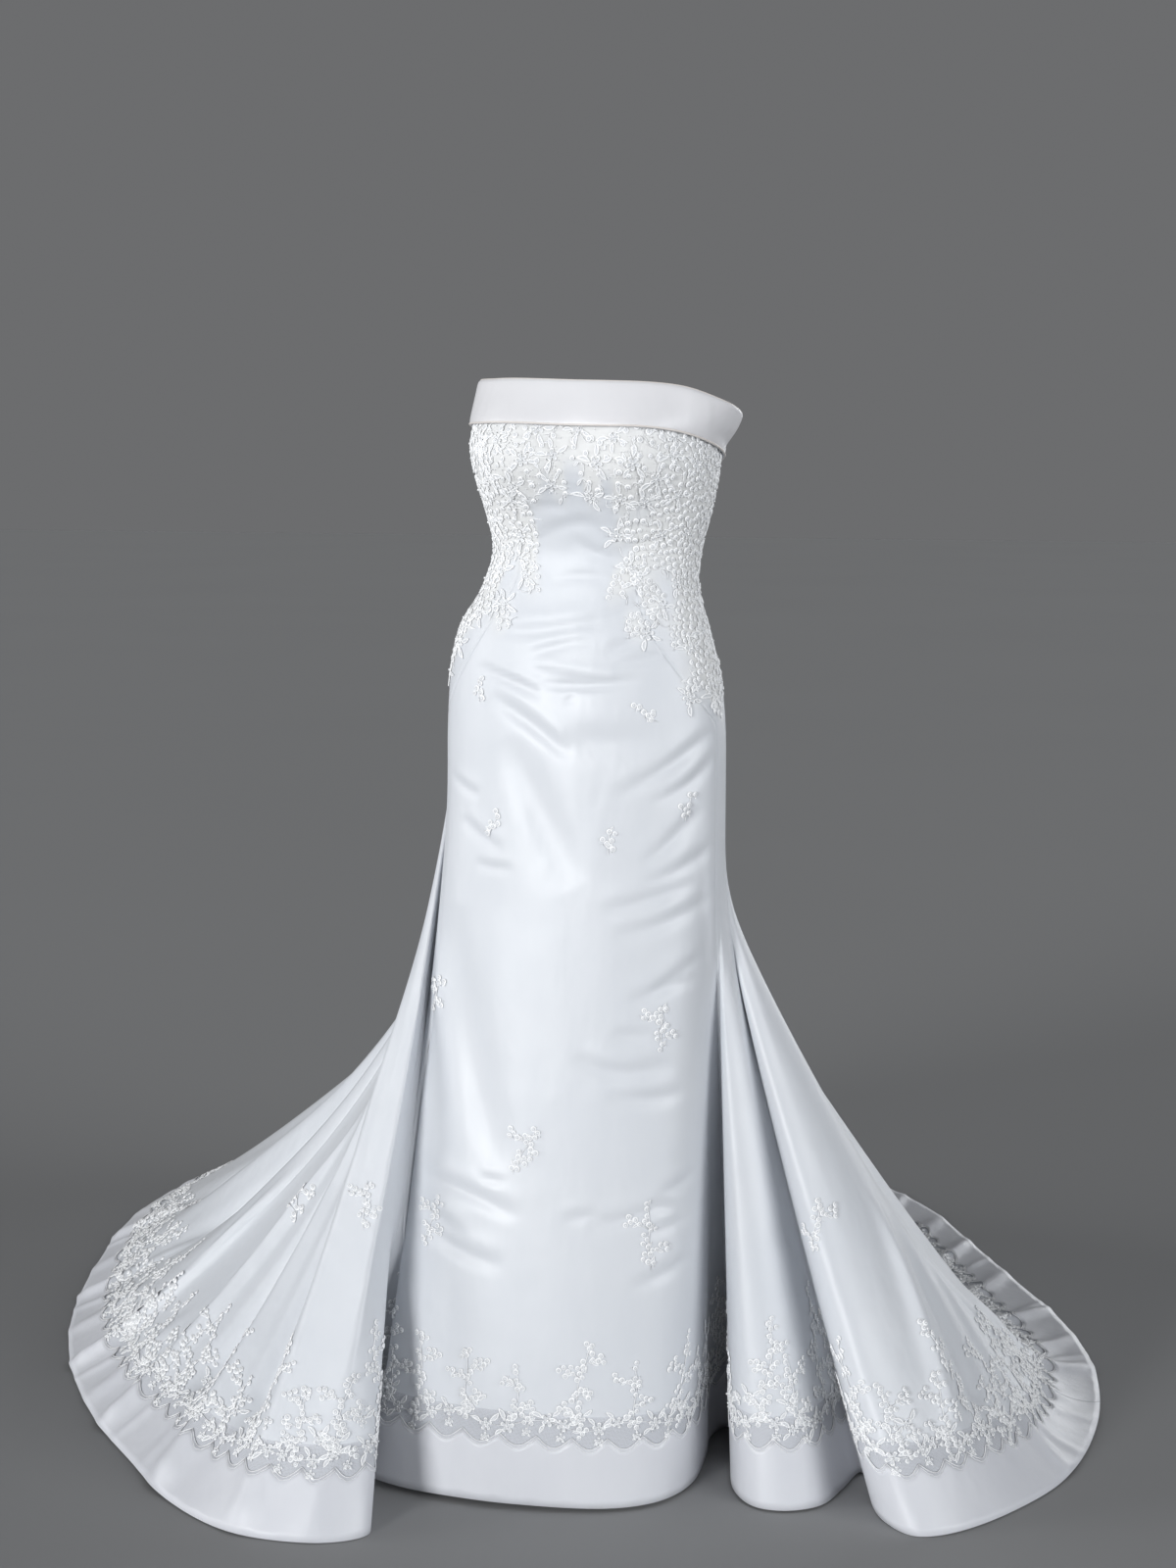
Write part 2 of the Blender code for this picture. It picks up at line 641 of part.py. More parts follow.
def make_borders():
    """The see-through strip, the satin band below it and the lace over the strip, panel by panel."""
    edges = zip(hem_row(BAND_DEPTH + SHEER_DEPTH), hem_row(BAND_DEPTH), hem_row(0.0))
    for panel, (satin_edge, band_edge, hem) in zip(PANELS, edges):
        sheer = trim_sides([raise_row(satin_edge, -SEAM / 2), raise_row(band_edge, SEAM / 2)])
        wall_from_rows("sheer_strip_" + panel["name"], sheer, 0.0, WALL, "sheer")
        band = trim_sides([raise_row(band_edge, -SEAM / 2), hem])
        wall_from_rows("hem_band_" + panel["name"], band, 0.0, WALL, "satin")
        border_lace(panel, sheer)


# Lower edge and gap of the border lace, as shares of the sheer strip's depth and of a scallop's width
SCALLOP = {"cusp": 0.52, "dip": 0.97, "gap_top": 0.12, "gap_bottom": 0.44, "gap_side": 0.25}

# Motifs above the border lace: share of the border panel's depth that each reaches, and an outline of
# share of its own height and half width as a share of a scallop
SPRIG = {"reach": 0.98, "outline": ((0.20, 0.18), (0.38, 0.34), (0.56, 0.10), (0.74, 0.26), (1.00, 0.06))}
FLOWER = {"reach": 0.45, "outline": ((0.35, 0.36), (0.85, 0.14))}


def border_lace(panel, sheer):
    """Scalloped lace over the sheer strip, one gap to a scallop. A motif rises from every third one."""
    lace = LaceSheet(panel["rows"][-2:] + [sheer[1]])
    top = 1
    cusp, scallop = top + SCALLOP["cusp"], top + SCALLOP["dip"]
    hole_top, hole_bottom = top + SCALLOP["gap_top"], top + SCALLOP["gap_bottom"]
    for i in range(panel["hem_columns"]):
        left, middle, right = i, i + 0.5, i + 1
        hole_left, hole_right = left + SCALLOP["gap_side"], right - SCALLOP["gap_side"]
        lace.face((top, left), (cusp, left), (hole_bottom, hole_left), (hole_top, hole_left))
        lace.face((hole_bottom, hole_left), (cusp, left), (scallop, middle))
        lace.face((hole_bottom, hole_left), (scallop, middle), (hole_bottom, hole_right))
        lace.face((hole_bottom, hole_right), (scallop, middle), (cusp, right))
        lace.face((hole_top, hole_right), (hole_bottom, hole_right), (cusp, right), (top, right))
        lace.face((top, left), (hole_top, hole_left), (hole_top, hole_right), (top, right))
        if i % 6 == 5:
            motif_on(lace, top, i, SPRIG)
        elif i % 6 == 2:
            motif_on(lace, top, i, FLOWER)
    lace.wall("lace_border_" + panel["name"])


def motif_on(lace, base_row, column, motif):
    """A motif in one column, from the lace's upper edge up the panel."""
    below = ((base_row, column), (base_row, column + 1))
    for share, half in motif["outline"]:
        row = base_row - motif["reach"] * share
        above = ((row, column + 0.5 - half), (row, column + 0.5 + half))
        lace.face(above[0], below[0], below[1], above[1])
        below = above


# Cuff section from its top edge to the fold below: panel row, inner and outer offset past the wall.
# Its top flares off the figure at some degrees from the front and is back in place some rows below
CUFF = (
    (-0.12, 0.0006, 0.0030),
    (0.45, 0.0012, 0.0042),
    (1.05, 0.0024, 0.0062),
    (1.45, 0.0040, 0.0056),
)
CUFF_FLARE = {"degrees": 96, "width": 22, "rise": 0.016, "rows": 1.2}


def row_between(rows, at):
    """Points and normals at a row number with parts. Below 0 it runs on past the first row."""
    j = min(max(int(math.floor(at)), 0), len(rows) - 2)
    part = at - j
    points = rows[j][0] * (1 - part) + rows[j + 1][0] * part
    normals = rows[j][1] * (1 - part) + rows[j + 1][1] * part
    return points, unit(normals)


def make_cuff():
    """Folded cuff over the neckline, a little off the bodice, fuller at the fold below."""
    pieces = (
        ("cuff_front", ("side_right", "front_centre", "side_left")),
        ("cuff_back_left", ("back_left",)),
        ("cuff_back_right", ("back_right",)),
    )
    for name, under in pieces:
        rows = []
        for number in range(3):
            parts = [by_name[panel]["rows"][number] for panel in under]
            rows.append((np.vstack([p[0] for p in parts]), np.vstack([p[1] for p in parts])))
        degrees = np.concatenate([ring_row(by_name[panel], 0)[2] for panel in under])
        degrees = (degrees + 180) % 360 - 180
        away = (degrees - CUFF_FLARE["degrees"]) / CUFF_FLARE["width"]
        flare = CUFF_FLARE["rise"] * np.exp(-(away**2))
        made = []
        for row, _, _ in CUFF:
            points, normals = row_between(rows, row)
            share = max(0.0, 1 - (row - CUFF[0][0]) / CUFF_FLARE["rows"])
            made.append((points + normals * (flare * share)[:, None], normals))
        inner = [WALL + low for _, low, _ in CUFF]
        outer = [WALL + high for _, _, high in CUFF]
        wall_from_rows(name, made, inner, outer, "cuff")


# Lace on the bodice: row of the fitted part from the neckline down, then the first and last column of
# each run of lace in it. One cell in three is open
FRONT_LACE = (
    (1.4, (0, 12)),
    (2, (0, 12)),
    (3, (0, 12)),
    (4, (0, 4), (5, 7), (8, 12)),
    (5, (0, 3), (9, 12)),
    (6, (0, 2), (9, 12)),
    (7, (0, 2), (10, 12)),
    (8, (0, 2), (10, 12)),
)
SIDE_LACE = {
    "side_left": (
        (1.4, (0, 5)),
        (2, (0, 5)),
        (3, (0, 5)),
        (4, (0, 5)),
        (5, (0, 4)),
        (6, (0, 4)),
        (7, (0, 4)),
        (8, (1, 4)),
        (9, (2, 5)),
        (10, (3, 5)),
    ),
    "side_right": (
        (1.4, (2, 7)),
        (2, (2, 7)),
        (3, (2, 7)),
        (4, (2, 7)),
        (5, (3, 7)),
        (6, (3, 7)),
        (7, (3, 6)),
        (8, (3, 6)),
        (9, (3, 5)),
    ),
}
BODICE_GAP_INSET = 0.28


def bodice_lace(name, panel, table):
    lace = LaceSheet(panel["rows"][: RING_ROWS + 1])
    for row, *runs in table:
        for first, last in runs:
            for column in range(first, last):
                if (row + 2 * column) % 3 == 0:
                    lace.frame(row, column, BODICE_GAP_INSET)
                else:
                    lace.cell(row, column)
    lace.wall(name)


# Single sprigs of lace on the skirt: number, panel, place it is looked at from, the two coordinates
# seen from there (x and z from the front, x and y from above), length, turn in degrees
SPRIGS = (
    (1, "front_centre", "front", (-0.112, -0.167), 0.028, 20),
    (2, "front_centre", "front", (0.100, -0.188), 0.028, 60),
    (3, "front_centre", "front", (0.152, -0.302), 0.036, 0),
    (4, "front_centre", "front", (-0.090, -0.325), 0.034, -10),
    (5, "front_centre", "front", (0.055, -0.337), 0.032, 10),
    (6, "front_centre", "front", (-0.176, -0.545), 0.048, 0),
    (7, "front_centre", "front", (0.120, -0.562), 0.056, 12),
    (8, "front_centre", "front", (-0.038, -0.712), 0.066, -14),
    (9, "front_centre", "front", (0.108, -0.820), 0.080, 14),
    (10, "front_centre", "front", (-0.164, -0.815), 0.066, 0),
    (11, "side_left", "front", (0.298, -0.807), 0.066, 16),
    (12, "side_right", "front", (-0.390, -0.842), 0.060, 24),
    (13, "side_right", "front", (-0.232, -0.790), 0.060, 12),
    (14, "back_left", "above", (0.260, 0.620), 0.090, 30),
    (15, "back_left", "above", (0.060, 0.860), 0.100, 8),
    (16, "back_right", "above", (-0.300, 0.820), 0.100, -12),
    (17, "back_right", "above", (-0.520, 0.620), 0.090, -30),
)
LOOK_DOWN = 0.05

# Outline of such a sprig, stem at the bottom: across and along, as shares of its length
SPRAY = (
    (0.00, -0.50),
    (0.07, -0.24),
    (0.26, -0.26),
    (0.15, -0.04),
    (0.33, 0.14),
    (0.20, 0.38),
    (0.02, 0.50),
    (-0.18, 0.36),
    (-0.28, 0.16),
    (-0.14, 0.00),
    (-0.24, -0.18),
    (-0.06, -0.22),
)


def surface_of(name):
    mesh = bpy.data.objects[name].data
    return BVHTree.FromPolygons([v.co for v in mesh.vertices], [p.vertices for p in mesh.polygons])


def make_sprig(number, panel, seen_from, place, length, turn):
    """A flat motif that touches down on the highest facet under it."""
    if seen_from == "front":
        start, ahead = Vector((place[0], -3.0, place[1])), Vector((0, 1, 0))
    else:
        start, ahead = Vector((place[0], place[1], 1.0)), Vector((0, 0, -1))
    surface = surface_of("panel_" + panel)
    centre, normal, _, _ = surface.ray_cast(start, ahead)
    up = Vector((0, 0, 1)) if seen_from == "front" else -Vector((*place, 0))
    across = up.cross(normal).normalized()
    frame = Matrix((across, normal.cross(across), normal)).transposed()
    frame = frame @ Matrix.Rotation(math.radians(turn), 3, "Z")
    corners = [centre + frame @ Vector((u * length, v * length, 0)) for u, v in SPRAY]
    middles = [(a + b) / 2 for a, b in zip(corners, corners[1:] + corners[:1])]
    halfway = [(centre + corner) / 2 for corner in corners]
    lift = 0.0
    for point in corners + middles + halfway:
        hit = surface.ray_cast(point + normal * LOOK_DOWN, -normal)[0]
        if hit is not None:
            lift = max(lift, (hit - centre).dot(normal))
    low = [corner + normal * (lift + SPRIG_GAP) for corner in corners]
    high = [corner + normal * (lift + SPRIG_GAP + LACE_WALL) for corner in corners]
    count = len(SPRAY)
    faces = [tuple(range(count, 2 * count)), tuple(reversed(range(count)))]
    for i in range(count):
        after = (i + 1) % count
        faces.append((i, after, after + count, i + count))
    return add_object("lace_sprig_%02d" % number, low + high, faces, "lace")


# ---- zip down the centre back ----
# The tape, in rows of the fitted part; the slider's body and its bridge as width, thickness and length,
# with the clear height under the bridge; the pull's plate and the eye through it as width and length
ZIP = {"first_row": 1.7, "last_row": 12, "half_width": 0.006, "gap": 0.0005, "thickness": 0.0012}
SLIDER = {
    "row": 2.45,
    "size": (0.008, 0.0024, 0.011),
    "bridge": (0.002, 0.0027, 0.0072),
    "gap": 0.0018,
    "post": 0.001,
    "root": 0.0003,
}
PULL = {"width": 0.006, "length": 0.022, "thickness": 0.001, "eye": (0.003, 0.0041)}


def zip_point(row, side):
    """Point and normal on the back at a row, on the seam or half a zip to one side of it."""
    left, right = by_name["back_left"]["rows"], by_name["back_right"]["rows"]
    last = len(left[0][0]) - 1
    if side == 0:
        ends = facet_point(left, row, last), facet_point(right, row, 0)
        return (ends[0][0] + ends[1][0]) / 2, unit(ends[0][1] + ends[1][1])
    rows, seam, neighbour = (left, last, last - 1) if side < 0 else (right, 0, 1)
    width = np.linalg.norm(facet_point(rows, row, seam)[0] - facet_point(rows, row, neighbour)[0])
    return facet_point(rows, row, seam + (neighbour - seam) * ZIP["half_width"] / width)


def make_zip_strip():
    first, last = ZIP["first_row"], ZIP["last_row"]
    rows = []
    for row in [first] + list(range(math.ceil(first), last + 1)):
        points, normals = zip(*[zip_point(row, side) for side in (-1, 0, 1)])
        rows.append((np.array(points), np.array(normals)))
    inner = WALL + ZIP["gap"]
    wall_from_rows("zip_strip", rows, inner, inner + ZIP["thickness"], "zip")


def add_box(name, low, high):
    """Box between two corners, as an object whose origin stays at zero."""
    size = [b - a for a, b in zip(low, high)]
    bpy.ops.mesh.primitive_cube_add(size=1)
    made = bpy.context.object
    made.name = name
    centre = [(a + b) / 2 for a, b in zip(low, high)]
    made.data.transform(Matrix.Translation(centre) @ Matrix.Diagonal((*size, 1)))
    for collection in list(made.users_collection):
        collection.objects.unlink(made)
    return made


def combine(body, other, operation):
    cutters.objects.link(other)
    other.hide_render = True
    other.display_type = "WIRE"
    joined = body.modifiers.new(operation.lower(), "BOOLEAN")
    joined.operation = operation
    joined.solver = "EXACT"
    joined.object = other


def make_slider():
    """Slider body with a bridge over the pull's crossbar. It returns where the crossbar lies."""
    wide, thick, long = SLIDER["size"]
    bridge_wide, tall, bridge_long = SLIDER["bridge"]
    half, reach = bridge_wide / 2, bridge_long / 2
    top, sunk = thick / 2, SLIDER["root"]
    body = add_box("zip_slider", (-wide / 2, -top, -long / 2), (wide / 2, top, long / 2))
    dress.objects.link(body)
    body.data.materials.append(material("zip_slider_finish", "metal"))
    bridge = add_box("bridge_form", (-half, top - sunk, -reach), (half, top + tall, reach))
    inside, wide_cut = reach - SLIDER["post"], 2 * half
    hole_top = top + SLIDER["gap"]
    hole = add_box("bridge_hole", (-wide_cut, top - 2 * sunk, -inside), (wide_cut, hole_top, inside))
    combine(bridge, hole, "DIFFERENCE")
    combine(body, bridge, "UNION")
    point, normal = zip_point(SLIDER["row"], 0)
    step = 0.2
    drop = zip_point(SLIDER["row"] + step, 0)[0] - zip_point(SLIDER["row"] - step, 0)[0]
    tilt = Matrix.Rotation(math.atan2(drop[1], -drop[2]), 4, "X")
    above = WALL + 2 * ZIP["gap"] + ZIP["thickness"] + top
    place = Matrix.Translation(Vector(point) + tilt @ Vector((0, above, 0)))
    for piece in (body, bridge, hole):
        piece.matrix_world = place @ tilt
    return place @ tilt @ Vector((0, top + SLIDER["gap"] / 2, 0))


def make_pull(crossbar):
    half, thick = PULL["width"] / 2, PULL["thickness"] / 2
    eye_half, eye_long = PULL["eye"][0] / 2, PULL["eye"][1]
    pull = add_box("zip_pull", (-half, -thick, -PULL["length"]), (half, thick, thick))
    dress.objects.link(pull)
    pull.data.materials.append(material("zip_pull_finish", "metal"))
    cut = 2 * thick
    eye = add_box("pull_eye", (-eye_half, -cut, -thick - eye_long), (eye_half, cut, -thick))
    combine(pull, eye, "DIFFERENCE")
    pull.location = crossbar
    eye.location = crossbar


clear_scene()
by_name = {panel["name"]: panel for panel in PANELS}
dress = bpy.data.collections.new("wedding_dress")
cutters = bpy.data.collections.new("cutters")
for collection in (dress, cutters):
    bpy.context.scene.collection.children.link(collection)
skirt = build_skirt()
place_panels()
make_panels()
make_borders()
make_cuff()
bodice_lace("lace_bodice_front", by_name["front_centre"], FRONT_LACE)
for side, table in SIDE_LACE.items():
    bodice_lace("lace_bodice_" + side, by_name[side], table)
for sprig in SPRIGS:
    make_sprig(*sprig)
make_zip_strip()
make_pull(make_slider())
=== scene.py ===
import json
import math

import bpy
import numpy as np
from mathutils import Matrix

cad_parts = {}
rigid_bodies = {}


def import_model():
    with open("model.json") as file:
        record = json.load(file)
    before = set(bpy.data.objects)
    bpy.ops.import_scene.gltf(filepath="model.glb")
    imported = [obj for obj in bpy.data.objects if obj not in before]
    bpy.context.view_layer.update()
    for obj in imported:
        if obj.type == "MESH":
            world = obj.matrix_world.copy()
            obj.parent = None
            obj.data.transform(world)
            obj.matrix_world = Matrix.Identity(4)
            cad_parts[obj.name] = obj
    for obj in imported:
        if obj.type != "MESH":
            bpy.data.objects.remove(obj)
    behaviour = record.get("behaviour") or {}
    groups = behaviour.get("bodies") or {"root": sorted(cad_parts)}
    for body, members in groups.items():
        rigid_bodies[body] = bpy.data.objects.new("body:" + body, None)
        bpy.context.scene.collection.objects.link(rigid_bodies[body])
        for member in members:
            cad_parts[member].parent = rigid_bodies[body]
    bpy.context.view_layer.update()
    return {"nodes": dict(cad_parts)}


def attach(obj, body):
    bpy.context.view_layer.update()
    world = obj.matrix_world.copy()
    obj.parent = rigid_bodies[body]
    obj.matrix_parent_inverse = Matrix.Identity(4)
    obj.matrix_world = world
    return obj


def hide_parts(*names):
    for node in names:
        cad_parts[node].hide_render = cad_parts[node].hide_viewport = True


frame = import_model()

# The figure in rings: height, middle x, half width, front depth, back depth. It stands on a studio floor
# a little above the solids' underside, so that the hem rests in it
figure = {
    "floor": -1.156,
    "stands": -1.1525,
    "hip": -0.215,
    "roundness": 2.25,
    "rings": (
        (0.205, 0.021, 0.147, 0.094, 0.090),
        (0.152, 0.016, 0.150, 0.103, 0.098),
        (0.125, 0.011, 0.149, 0.106, 0.101),
        (0.094, 0.012, 0.146, 0.104, 0.099),
        (0.047, 0.014, 0.135, 0.092, 0.088),
        (0.000, 0.012, 0.125, 0.083, 0.081),
        (-0.047, 0.004, 0.131, 0.087, 0.088),
        (-0.095, -0.004, 0.152, 0.094, 0.104),
        (-0.150, -0.004, 0.165, 0.099, 0.118),
        (-0.215, -0.003, 0.171, 0.103, 0.125),
    ),
    "cup": {"side": 0.072, "height": 0.108, "rise": 0.020, "radius": 0.055, "spread": 0.15},
    # degrees from the front towards the wearer's left, height
    "neckline": (
        (-180, 0.135),
        (-135, 0.150),
        (-92, 0.194),
        (-45, 0.200),
        (0, 0.197),
        (45, 0.191),
        (80, 0.173),
        (100, 0.160),
        (135, 0.145),
        (180, 0.135),
    ),
    # height, degrees of the princess seam, degrees of the side back seam
    "seams": (
        (0.205, 34, 106),
        (0.100, 30, 104),
        (0.000, 31, 106),
        (-0.087, 38, 110),
        (-0.159, 58, 113),
        (-0.205, 79.5, 114),
    ),
    "belowCuff": 0.004,
    "chest": 0.15,    # where the search for a seam's place starts
    "normalTurn": 1.5,    # degrees and metres to both sides over which the slope of the figure is read
    "normalDrop": 0.004,
}


def cubic(rows, knots, at):
    # Catmull-Rom through rows at knots, with the end rows repeated
    rows = np.asarray(rows, float)
    knots = np.asarray(knots, float)
    at = np.clip(np.atleast_1d(at), knots[0], knots[-1])
    i = np.clip(np.searchsorted(knots, at, side="right") - 1, 0, len(knots) - 2)
    span = knots[i + 1] - knots[i]
    t = ((at - knots[i]) / span)[:, None]
    before = np.maximum(i - 1, 0)
    after = np.minimum(i + 2, len(knots) - 1)
    lead = (rows[i + 1] - rows[before]) / (knots[i + 1] - knots[before])[:, None]
    trail = (rows[after] - rows[i]) / (knots[after] - knots[i])[:, None]
    s = span[:, None]
    h0 = 2 * t**3 - 3 * t**2 + 1
    h1 = t**3 - 2 * t**2 + t
    h2 = -2 * t**3 + 3 * t**2
    h3 = t**3 - t**2
    return h0 * rows[i] + h1 * s * lead + h2 * rows[i + 1] + h3 * s * trail


def ease(x):
    x = np.clip(x, 0.0, 1.0)
    return x * x * (3 - 2 * x)


def unit(vectors):
    return vectors / (np.linalg.norm(vectors, axis=-1)[..., None] + 1e-12)


def runAlong(line):
    # length of a line up to each of its points
    return np.concatenate([[0], np.cumsum(np.linalg.norm(np.diff(line, axis=0), axis=1))])


def readLine(line, run, at):
    return np.stack([np.interp(at, run, column) for column in line.T], axis=1)


def evenLine(line, count):
    run = runAlong(line)
    return readLine(line, run, np.linspace(0, run[-1], count))


def soften(values):
    # each value takes part of its two neighbours along the first axis
    values[1:-1] = (values[:-2] + 2 * values[1:-1] + values[2:]) / 4


def figurePoints(degrees, height):
    rings = np.array(figure["rings"])[::-1]
    middle, half, front, back = cubic(rings[:, 1:], rings[:, 0], height).T
    turn = np.radians(degrees)
    side, ahead = np.sin(turn), np.cos(turn)
    power = 2.0 / figure["roundness"]
    across = half * np.sign(side) * np.abs(side) ** power
    along = -np.where(ahead > 0, front, back) * np.sign(ahead) * np.abs(ahead) ** power
    cup = figure["cup"]
    for sign in (-1, 1):
        off = (across - sign * cup["side"]) ** 2 + (height - cup["height"]) ** 2
        bump = cup["rise"] * np.exp(-off / cup["radius"] ** 2) * (ahead > 0)
        along = along - bump
        across = across + sign * bump * cup["spread"]
    return np.stack([middle + across, along, height + 0 * across], axis=-1)


def figureNormals(degrees, height):
    turn, drop = figure["normalTurn"], figure["normalDrop"]
    turnStep = figurePoints(degrees + turn, height) - figurePoints(degrees - turn, height)
    dropStep = figurePoints(degrees, height - drop) - figurePoints(degrees, height + drop)
    return unit(np.cross(dropStep, turnStep))


def necklineHeight(degrees):
    rows = np.array(figure["neckline"])
    turned = (np.asarray(degrees, float) + 180.0) % 360.0 - 180.0
    return cubic(rows[:, 1:], rows[:, 0], turned)[:, 0]


def seamDegrees(end, height):
    # an end is a column of the seams and a side, or nothing and degrees of its own
    column, value = end
    if column == 0:
        return np.full_like(np.atleast_1d(height), float(value))
    rows = np.array(figure["seams"])[::-1]
    return cubic(rows[:, 1:], rows[:, 0], height)[:, column - 1] * value


# Ribs of the skirt round the hem: hem x, hem y, degrees at the hip, height where the rib leaves the
# figure, power of its sweep, share of the way where it meets the floor, lift of the hem
skirt = {
    "ribs": 1500,
    "samples": 96,
    "softenRounds": 30,
    "fittedRows": 104,
    "skirtRows": 250,
    "fallSteps": 60,
    "floorSteps": 20,
    "clearOfFloor": 0.0015,
    "creasesClearOfFloor": 0.0008,
    # the hip, where fitted rows and ribs meet, is smoothed over some rows to both sides
    "joinReach": 9,
    "joinRounds": 60,
    "hem": (
        (-0.047, -0.171, 0, -0.22, 1.4, 1.00, 0.010),
        (0.059, -0.150, 28, -0.22, 1.4, 1.00, 0.008),
        (0.120, -0.112, 48, -0.23, 1.3, 1.00, 0.008),
        (0.147, -0.050, 60, -0.28, 1.2, 1.00, 0.008),
        (0.146, 0.030, 70, -0.38, 1.1, 1.00, 0.010),
        (0.140, 0.085, 76, -0.43, 1.1, 1.00, 0.012),
        (0.157, 0.118, 79.5, -0.43, 1.1, 1.00, 0.013),
        (0.178, 0.082, 83, -0.43, 1.1, 1.00, 0.011),
        (0.186, 0.015, 86, -0.43, 1.1, 1.00, 0.008),
        (0.203, -0.050, 88, -0.43, 1.1, 1.00, 0.007),
        (0.235, -0.088, 90, -0.43, 1.1, 1.00, 0.006),
        (0.275, -0.090, 92, -0.43, 1.1, 1.00, 0.006),
        (0.312, -0.064, 94, -0.43, 1.1, 1.00, 0.006),
        (0.328, -0.015, 95.5, -0.43, 1.1, 1.00, 0.006),
        (0.342, 0.042, 97, -0.43, 1.1, 1.00, 0.006),
        (0.362, 0.024, 98.5, -0.43, 1.1, 1.00, 0.005),
        (0.372, -0.036, 100, -0.43, 1.1, 1.00, 0.005),
        (0.396, -0.084, 101.2, -0.43, 1.1, 1.00, 0.005),
        (0.437, -0.110, 102.5, -0.43, 1.08, 0.99, 0.004),
        (0.487, -0.080, 104, -0.42, 1.08, 0.98, 0.004),
        (0.545, -0.002, 106, -0.42, 1.08, 0.97, 0.004),
        (0.590, 0.090, 108, -0.42, 1.1, 0.94, 0.004),
        (0.614, 0.210, 111, -0.42, 1.20, 0.91, 0.004),
        (0.617, 0.345, 114, -0.42, 1.32, 0.88, 0.004),
        (0.595, 0.490, 118, -0.40, 1.5, 0.86, 0.004),
        (0.540, 0.640, 123, -0.37, 1.6, 0.82, 0.004),
        (0.455, 0.795, 129, -0.34, 1.6, 0.79, 0.004),
        (0.372, 0.945, 136, -0.30, 1.65, 0.78, 0.004),
        (0.285, 1.095, 144, -0.27, 1.7, 0.79, 0.004),
        (0.170, 1.212, 152, -0.25, 1.7, 0.80, 0.004),
        (0.030, 1.290, 160, -0.24, 1.7, 0.80, 0.004),
        (-0.140, 1.335, 168, -0.24, 1.7, 0.80, 0.004),
        (-0.320, 1.340, 176, -0.24, 1.7, 0.80, 0.004),
        (-0.490, 1.302, 184, -0.26, 1.7, 0.82, 0.004),
        (-0.660, 1.225, 192, -0.27, 1.7, 0.86, 0.004),
        (-0.815, 1.110, 200, -0.28, 1.7, 0.92, 0.004),
        (-0.930, 0.965, 208, -0.29, 1.7, 0.98, 0.004),
        (-0.985, 0.810, 215, -0.30, 1.72, 1.00, 0.004),
        (-0.980, 0.650, 222, -0.30, 1.78, 1.00, 0.004),
        (-0.943, 0.495, 229, -0.30, 1.82, 1.00, 0.004),
        (-0.897, 0.340, 236, -0.30, 1.88, 0.99, 0.004),
        (-0.838, 0.195, 242, -0.28, 1.95, 0.98, 0.004),
        (-0.760, 0.060, 247, -0.26, 2.0, 0.98, 0.004),
        (-0.655, -0.075, 251.5, -0.25, 2.0, 0.98, 0.004),
        (-0.550, -0.180, 255, -0.25, 1.95, 0.98, 0.004),
        (-0.450, -0.272, 258.5, -0.24, 1.7, 0.98, 0.004),
        (-0.345, -0.325, 261.5, -0.22, 1.35, 0.99, 0.004),
        (-0.240, -0.322, 264, -0.22, 1.2, 1.00, 0.004),
        (-0.190, -0.283, 266, -0.22, 1.2, 1.00, 0.004),
        (-0.235, -0.225, 268.5, -0.25, 1.2, 1.00, 0.006),
        (-0.305, -0.165, 271.5, -0.30, 1.25, 1.00, 0.008),
        (-0.318, -0.085, 275, -0.30, 1.25, 1.00, 0.010),
        (-0.250, -0.035, 278.5, -0.30, 1.25, 1.00, 0.012),
        (-0.178, -0.062, 282, -0.30, 1.25, 1.00, 0.014),
        (-0.196, -0.112, 286.5, -0.30, 1.25, 1.00, 0.014),
        (-0.236, -0.150, 292, -0.30, 1.25, 1.00, 0.014),
        (-0.194, -0.167, 301, -0.27, 1.3, 1.00, 0.012),
        (-0.130, -0.173, 323, -0.23, 1.4, 1.00, 0.011),
    ),
    # the deep fold beside the front panel
    "tuck": {"first": 264, "edge": 266, "last": 292, "edgeShare": 0.50, "opens": -0.84},
    # metres round the hem, depth outwards, half width at the hem, share where it starts, is full, ends
    "folds": (
        (1.50, -0.018, 0.060, 0.10, 0.55, 1.00),
        (1.72, 0.020, 0.070, 0.10, 0.50, 0.95),
        (1.98, -0.020, 0.070, 0.10, 0.55, 0.95),
        (2.24, 0.018, 0.070, 0.12, 0.50, 0.92),
        (2.52, -0.022, 0.080, 0.10, 0.50, 0.92),
        (2.84, 0.022, 0.085, 0.10, 0.50, 0.92),
        (3.14, -0.020, 0.080, 0.10, 0.50, 0.92),
        (3.44, 0.020, 0.080, 0.10, 0.50, 0.92),
        (3.74, -0.022, 0.080, 0.10, 0.55, 0.95),
        (3.98, 0.016, 0.060, 0.10, 0.55, 0.97),
        (4.35, 0.016, 0.300, 0.00, 0.22, 0.55),
        (4.18, -0.028, 0.050, 0.12, 0.60, 0.98),
        (4.33, 0.018, 0.050, 0.12, 0.60, 0.98),
        (4.47, -0.030, 0.045, 0.12, 0.60, 0.99),
        (4.66, 0.016, 0.070, 0.10, 0.60, 0.99),
    ),
}


def hemRows():
    # the table of the hem as even ribs, and the length round it
    table = np.array(skirt["hem"])
    extra = 3
    turned = np.vstack([table[-extra:], table, table[:extra]])
    turned[:extra, 2] -= 360
    turned[-extra:, 2] += 360
    steps = np.linalg.norm(np.diff(turned[:, :2], axis=0), axis=1)
    knots = np.concatenate([[0], np.cumsum(np.sqrt(steps))])
    dense = cubic(turned, knots, np.linspace(knots[extra], knots[-extra], 4 * skirt["ribs"]))
    run = runAlong(dense[:, :2])
    return readLine(dense, run, np.linspace(0, run[-1], skirt["ribs"], endpoint=False)), run[-1]


